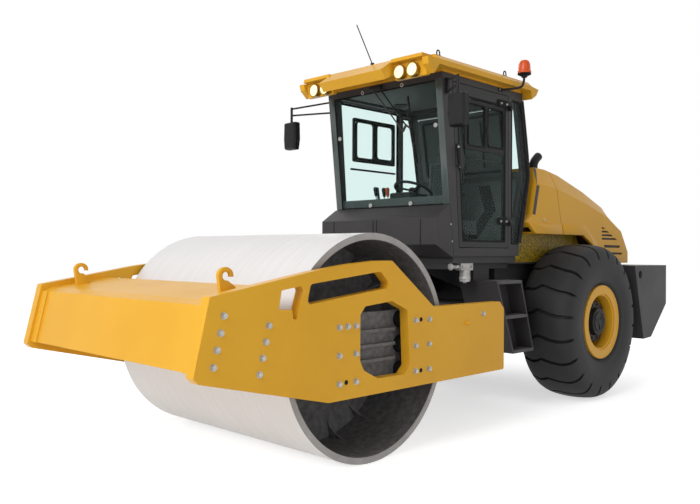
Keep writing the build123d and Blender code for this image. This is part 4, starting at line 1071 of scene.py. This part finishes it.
# operator's seat: two sewn cushions and a headrest, swollen by a cloth simulation, on a bellows base
seat = {
    "pads": {
        "seatCushion": {"low": (-0.245, -0.235, 0.015), "high": (0.245, 0.235, 0.125), "place": (-0.29, 0, 1.852),
                        "lean": -4, "cap": 0.022, "channels": (-0.13, 0.13), "fill": 0.8},
        "seatBack": {"low": (-0.045, -0.215, 0.02), "high": (0.045, 0.215, 0.535), "place": (-0.505, 0, 2.000),
                     "lean": -7.1, "cap": 0.020, "channels": (-0.12, 0.12), "fill": 0.8},
        "seatHeadrest": {"low": (-0.032, -0.125, 0.02), "high": (0.032, 0.125, 0.165), "place": (-0.583, 0, 2.568),
                         "lean": -7.1, "cap": 0.014, "channels": (), "fill": 0.9},
    },
    "corner": 0.03, "voxel": 0.011, "pressure": 4.0, "frames": 20, "stitchDepth": 0.010, "stitchWidth": 0.010,
    # plinth and pan, then arm brackets and armrests as (x limits, y, half width, z limits, soft edge)
    "blocks": [((-0.48, -0.19, 1.524), (-0.10, 0.19, 1.585), 0.012),
               ((-0.52, -0.22, 1.785), (-0.06, 0.22, 1.862), 0.018)],
    "arms": [((-0.535, -0.485), 0.205, 0.02, (1.80, 2.06), 0.010),
             ((-0.545, -0.26), 0.250, 0.010, (2.135, 2.185), 0.009)],
    "bellows": ((-0.455, -0.172, 1.585), (-0.125, 0.172, 1.625), 0.017), "folds": 5, "fold": 0.040,
    "armPin": ((-0.53, 0.230, 2.16), (-0.53, 0.250, 2.16), 0.018),
    "headPost": ((-0.572, 0.06, 2.50), (-0.590, 0.06, 2.62), 0.007),
    "shell": ((-0.062, -0.21, 0.02), (-0.030, 0.21, 0.53), 0.014),
}


def leanTo(pad):
    return shift(pad["place"]) @ Matrix.Rotation(radians(pad["lean"]), 4, "Y")


def finalMesh(piece):
    return bpy.data.meshes.new_from_object(piece.evaluated_get(bpy.context.evaluated_depsgraph_get()))


def swellPad(name, pad):
    start = blockPart(pad["low"], pad["high"], seat["corner"])
    mesh = bpy.data.meshes.new(name)
    start.to_mesh(mesh)
    start.free()
    piece = bpy.data.objects.new(name, mesh)
    bpy.context.scene.collection.objects.link(piece)
    even = piece.modifiers.new("evenMesh", "REMESH")
    even.mode = "VOXEL"
    even.voxel_size = seat["voxel"]
    flat = finalMesh(piece)
    piece.modifiers.clear()
    piece.data = flat
    cloth = piece.modifiers.new("swell", "CLOTH")
    cloth.settings.use_pressure = True
    cloth.settings.uniform_pressure_force = seat["pressure"]
    cloth.settings.effector_weights.gravity = 0
    for step in range(1, seat["frames"] + 1):
        bpy.context.scene.frame_set(step)
    swollen = finalMesh(piece)
    piece.modifiers.clear()
    bpy.context.scene.frame_set(1)
    form = bmesh.new()
    form.from_mesh(swollen)
    for vert, rest in zip(form.verts, flat.vertices):
        move = vert.co - rest.co
        if move.length > pad["cap"]:
            vert.co = rest.co + move.normalized() * pad["cap"]
    bmesh.ops.smooth_vert(form, verts=form.verts, factor=0.5, use_axis_x=True, use_axis_y=True, use_axis_z=True)
    form.normal_update()
    for vert in form.verts:  # sewn channels, pressed in after the swelling
        for line in pad["channels"]:
            near = (vert.co.y - line) / seat["stitchWidth"]
            vert.co -= vert.normal * seat["stitchDepth"] * 2.718 ** (-near * near)
    bmesh.ops.transform(form, matrix=leanTo(pad), verts=form.verts)
    for face in form.faces:
        face.smooth = True
    final = bpy.data.meshes.new(name)
    form.to_mesh(final)
    form.free()
    final.materials.append(seatCloth)
    piece.data = final
    for old in (mesh, flat, swollen):
        bpy.data.meshes.remove(old)
    fine = piece.modifiers.new("fine", "SUBSURF")
    fine.levels = fine.render_levels = 1
    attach(piece, "rear_frame")


for name, pad in seat["pads"].items():
    swellPad(name, pad)
form = bmesh.new()
for block in seat["blocks"]:
    addPart(form, blockPart(*block), None, 0)
for i in range(seat["folds"]):
    addPart(form, blockPart(*seat["bellows"]), shift((0, 0, i * seat["fold"])), 1)
for side in (1, -1):
    for (rear, front), y, half, (low, high), soft in seat["arms"]:
        addPart(form, blockPart((rear, side * y - half, low), (front, side * y + half, high), soft), None, 0)
    for name, finish in (("armPin", 0), ("headPost", 2)):
        start, end, radius = seat[name]
        rod = rodPart((start[0], side * start[1], start[2]), (end[0], side * end[1], end[2]), radius)
        addPart(form, rod, None, finish)
addPart(form, blockPart(*seat["shell"]), leanTo(seat["pads"]["seatBack"]), 0)
seatBase = keepPiece("seatBase", form, [grainedPlastic, sealRubber, zincPlate], "rear_frame")
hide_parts("operator_seat")
print("seat done")

# steering wheel, dash, levers and linings seen through the glass
cabInside = {
    "wheel": (-0.020, 0, 2.180), "wheelAxis": (-0.08, 0, 0.18), "wheelRadius": 0.190, "rim": 0.014,
    "hub": [(0, 0.020), (0.036, 0.018), (0.046, 0.008), (0.046, -0.014), (0.030, -0.022), (0, -0.022)],
    "spokes": 3, "spoke": ((0.03, -0.016, -0.008), (0.186, 0.016, 0.004), 0.004),
    "knob": [(0, 0.052), (0.014, 0.050), (0.021, 0.040), (0.021, 0.028), (0.012, 0.018), (0.012, 0)],
    "knobTurn": 140, "knobPlace": (0.190, 0, 0.010),
    # dash, instrument hood, its glass and the roof lining, each with its finish
    "blocks": [
        (((0.10, -0.60, 1.86), (0.285, 0.60, 1.985), 0.03), 1),
        (((0.085, -0.13, 2.055), (0.200, 0.13, 2.150), 0.02), 0),
        (((0.080, -0.11, 2.070), (0.090, 0.11, 2.135), 0.004), 2),
        (((-0.72, -0.62, 3.150), (0.35, 0.62, 3.172), 0.010), 1),
    ],
    "rockers": 6, "rockerPitch": 0.05, "rocker": ((0.094, -0.42, 1.930), (0.102, -0.385, 1.965), 0.003),
    "speaker": [(0.078, 0), (0.078, 0.008), (0.068, 0.012), (0.064, 0.006), (0.03, 0.009), (0, 0.010)],
    "speakerPlace": (-0.35, 0.46, 3.151),
    # levers as (x, y, finish of the grip)
    "levers": ((-0.03, -0.50, 0), (-0.16, -0.50, 0), (-0.16, -0.45, 4)), "leverFoot": 2.00, "bootSunk": 0.004,
    "boot": [(0.034, 0), (0.034, 0.008), (0.024, 0.016), (0.027, 0.024), (0.017, 0.032), (0.019, 0.040), (0.010, 0.05),
             (0, 0.05)],
    "rod": ((0, 0, 0), (0.02, 0, 0.16), 0.006),
    "grip": [(0, -0.01), (0.014, -0.008), (0.018, 0.015), (0.021, 0.045), (0.024, 0.066), (0.019, 0.085), (0, 0.092)],
    "gripPlace": (0.02, 0, 0.155), "gripTilt": 7,
}
form = bmesh.new()
axis = Vector(cabInside["wheelAxis"])
wheelBase = placeOn(cabInside["wheel"], (0, 1, 0), axis.cross((0, 1, 0)), axis)
rim = bmesh.new()
bmesh.ops.create_circle(
    rim, segments=14, radius=cabInside["rim"],
    matrix=shift((cabInside["wheelRadius"], 0, 0)) @ Matrix.Rotation(radians(90), 4, "X"),
)
spinRound(rim, 56)
addPart(form, rim, wheelBase)
addPart(form, turnedPart(cabInside["hub"], 36), wheelBase)
for i in range(cabInside["spokes"]):
    addPart(form, blockPart(*cabInside["spoke"]), wheelBase @ roundZ(tau * i / cabInside["spokes"] + radians(90)))
knobBase = wheelBase @ roundZ(radians(cabInside["knobTurn"])) @ shift(cabInside["knobPlace"])
addPart(form, turnedPart(cabInside["knob"], 24), knobBase)
for block, finish in cabInside["blocks"]:
    addPart(form, blockPart(*block), None, finish)
for i in range(cabInside["rockers"]):
    addPart(form, blockPart(*cabInside["rocker"]), shift((0, i * cabInside["rockerPitch"], 0)))
x, y, z = cabInside["speakerPlace"]
for side in (1, -1):
    addPart(form, turnedPart(cabInside["speaker"], 36), onUnder(x, side * y, z))
for x, y, finish in cabInside["levers"]:
    base = shift((x, y, cabInside["leverFoot"]))
    addPart(form, turnedPart(cabInside["boot"], 24), base @ shift((0, 0, -cabInside["bootSunk"])), 0)
    addPart(form, rodPart(*cabInside["rod"]), base, 3)
    tilt = shift(cabInside["gripPlace"]) @ Matrix.Rotation(radians(cabInside["gripTilt"]), 4, "Y")
    addPart(form, turnedPart(cabInside["grip"], 24), base @ tilt, finish)
cabFinishes = [grainedPlastic, cabLining, mirrorSilver, zincPlate, leverGrip]
keepPiece("cabInside", form, cabFinishes, "rear_frame")

# dark lining inside the rear window: an upper panel with a pressed border and ribs, a lower one with chevrons
rearPanel = {
    "thick": 0.012, "ribHeight": 0.008, "ribSunk": 0.001,
    "upper": ((-0.943, 0, 2.365), (0, 1, 0), (0.130, 0, 0.715), (0.715, 0, -0.130)),
    "outline": rectangle((-0.60, 0), (0.575, 0.70)), "corner": 0.04,
    "border": rectangle((-0.54, 0.04), (0.5175, 0.663)), "borderBar": 0.03,
    "ribs": (-0.25, 0, 0.25), "rib": ((-0.012, 0.10, 0), (0.012, 0.60, 0.008), 0.003),
    "lower": ((-0.768, 0, 1.67), (0, 1, 0), (-0.265, 0, 1), (1, 0, 0.265)),
    "lowerOutline": rectangle((-0.64, 0), (0.64, 0.66)), "lowerCorner": 0.03,
    "chevron": [(0.12, 0.03), (0.30, 0.34), (0.17, 0.62), (0.31, 0.62), (0.44, 0.34), (0.26, 0.03)],
    "chevronCorner": 0.008,
}
form = bmesh.new()
raised = shift((0, 0, rearPanel["thick"] - rearPanel["ribSunk"]))
upper, lower = placeOn(*rearPanel["upper"]), placeOn(*rearPanel["lower"])
thick, height = rearPanel["thick"], rearPanel["ribHeight"]
addPart(form, slabPart(rearPanel["outline"], thick, rearPanel["corner"], softEdge), upper, 0)
border = framePart(rearPanel["border"], rearPanel["borderBar"], height, rearPanel["corner"])
addPart(form, border, upper @ raised, 1)
for y in rearPanel["ribs"]:
    addPart(form, blockPart(*rearPanel["rib"]), upper @ raised @ shift((y, 0, 0)), 1)
addPart(form, slabPart(rearPanel["lowerOutline"], thick, rearPanel["lowerCorner"], softEdge), lower, 0)
for side in (1, -1):
    outline = [(side * y, up) for y, up in rearPanel["chevron"]]
    addPart(form, slabPart(outline, height, rearPanel["chevronCorner"], softEdge), lower @ raised, 1)
keepPiece("rearPanel", form, [cabLining, grainedPlastic], "rear_frame")

# pocket on the inside of the door, with a pale rail
doorPocket = {
    "box": ((-0.108, 0.664, 1.724), (0.171, 0.716, 1.857), 0.012),
    "rail": ((-0.09, 0.66, 1.80), (0.155, 0.667, 1.845), 0.003),
}
form = bmesh.new()
addPart(form, blockPart(*doorPocket["box"]), None, 0)
addPart(form, blockPart(*doorPocket["rail"]), None, 1)
keepPiece("doorPocket", form, [grainedPlastic, cabLining], "cab_door")
print("cab inside done")

# pale floor that stays bright to the camera and keeps the shadow, under a sky that looks white but lights less
studio = {"floorHalf": 60, "floorColour": "#F2F2F2", "floorGlow": 0.6, "skySeen": 1.0, "skyLight": 0.46}
floorMesh = bpy.data.meshes.new("studioFloor")
floorForm = bmesh.new()
bmesh.ops.create_grid(floorForm, x_segments=1, y_segments=1, size=studio["floorHalf"])
floorForm.to_mesh(floorMesh)
floorForm.free()
floor = bpy.data.objects.new("studioFloor", floorMesh)
bpy.context.scene.collection.objects.link(floor)
floorFinish, floorTree, floorShader = newFinish(
    "paleFloor",
    {"Base Color": linear(studio["floorColour"]), "Roughness": 0.9, "Specular IOR Level": 0.0,
     "Emission Color": (1, 1, 1, 1)},
)[:3]
floorMesh.materials.append(floorFinish)
world = bpy.data.worlds.new("studioSky")
bpy.context.scene.world = world
world.use_nodes = True
sky = world.node_tree

# 1 for what the camera sees straight, mirrored or through glass, and 0 for the light that surfaces scatter
seen = []
for tree in (floorTree, sky):
    ray = addNode(tree, "ShaderNodeLightPath")
    total = ray.outputs["Is Camera Ray"]
    for kind in ("Is Glossy Ray", "Is Transmission Ray"):
        links = {0: total, 1: ray.outputs[kind]}
        total = addNode(tree, "ShaderNodeMath", {"operation": "ADD", "use_clamp": True}, links).outputs[0]
    seen.append(total)
floorSeen, skySeen = seen
floorGlow = addNode(floorTree, "ShaderNodeMath", {"operation": "MULTIPLY"}, {0: floorSeen})
floorGlow.inputs[1].default_value = studio["floorGlow"]
floorTree.links.new(floorGlow.outputs[0], floorShader.inputs["Emission Strength"])
skyLight = sky.nodes["Background"]
skyLight.inputs["Color"].default_value = (1, 1, 1, 1)
skyLight.inputs["Strength"].default_value = studio["skyLight"]
skyWhite = addNode(sky, "ShaderNodeBackground", {"Color": (1, 1, 1, 1), "Strength": studio["skySeen"]})
skyMix = addNode(sky, "ShaderNodeMixShader", {}, {0: skySeen, 1: skyLight.outputs[0], 2: skyWhite.outputs[0]})
sky.links.new(skyMix.outputs[0], sky.nodes["World Output"].inputs["Surface"])

# a broad key lamp from the front, a weak one from the left and one from behind
lamps = {
    "keyLamp": {"place": (10, 1.5, 7), "aim": (0.5, 0, 1.2), "size": 6, "power": 690},
    "sideLamp": {"place": (5, 10, 2.2), "aim": (1, 0, 1.0), "size": 5, "power": 100},
    "rearLamp": {"place": (-9, -7, 7), "aim": (0, 0, 1.4), "size": 6, "power": 260},
}
for name, lamp in lamps.items():
    light = bpy.data.lights.new(name, "AREA")
    light.size = lamp["size"]
    light.energy = lamp["power"]
    lightObject = bpy.data.objects.new(name, light)
    lightObject.location = lamp["place"]
    aim = Vector(lamp["aim"]) - Vector(lamp["place"])
    lightObject.rotation_euler = aim.to_track_quat("-Z", "Y").to_euler()
    bpy.context.scene.collection.objects.link(lightObject)

# the photograph's own camera
view = {"place": (5.8081, 4.8485, 1.5569), "yaw": 44.57, "pitch": 0.005, "roll": 0.23, "lens": 38.47, "sensor": 36}
cameraData = bpy.data.cameras.new("photoCamera")
cameraData.lens = view["lens"]
cameraData.sensor_width = view["sensor"]
camera = bpy.data.objects.new("photoCamera", cameraData)
yaw, pitch = radians(view["yaw"]), radians(view["pitch"])
look = Vector((-cos(yaw) * cos(pitch), -sin(yaw) * cos(pitch), sin(pitch)))
turn = look.to_track_quat("-Z", "Y").to_matrix() @ Matrix.Rotation(radians(view["roll"]), 3, "Z")
camera.rotation_euler = turn.to_euler()
camera.location = view["place"]
bpy.context.scene.collection.objects.link(camera)
bpy.context.scene.camera = camera
bpy.context.scene.view_settings.view_transform = "Standard"
print("stage, lamps and camera set")
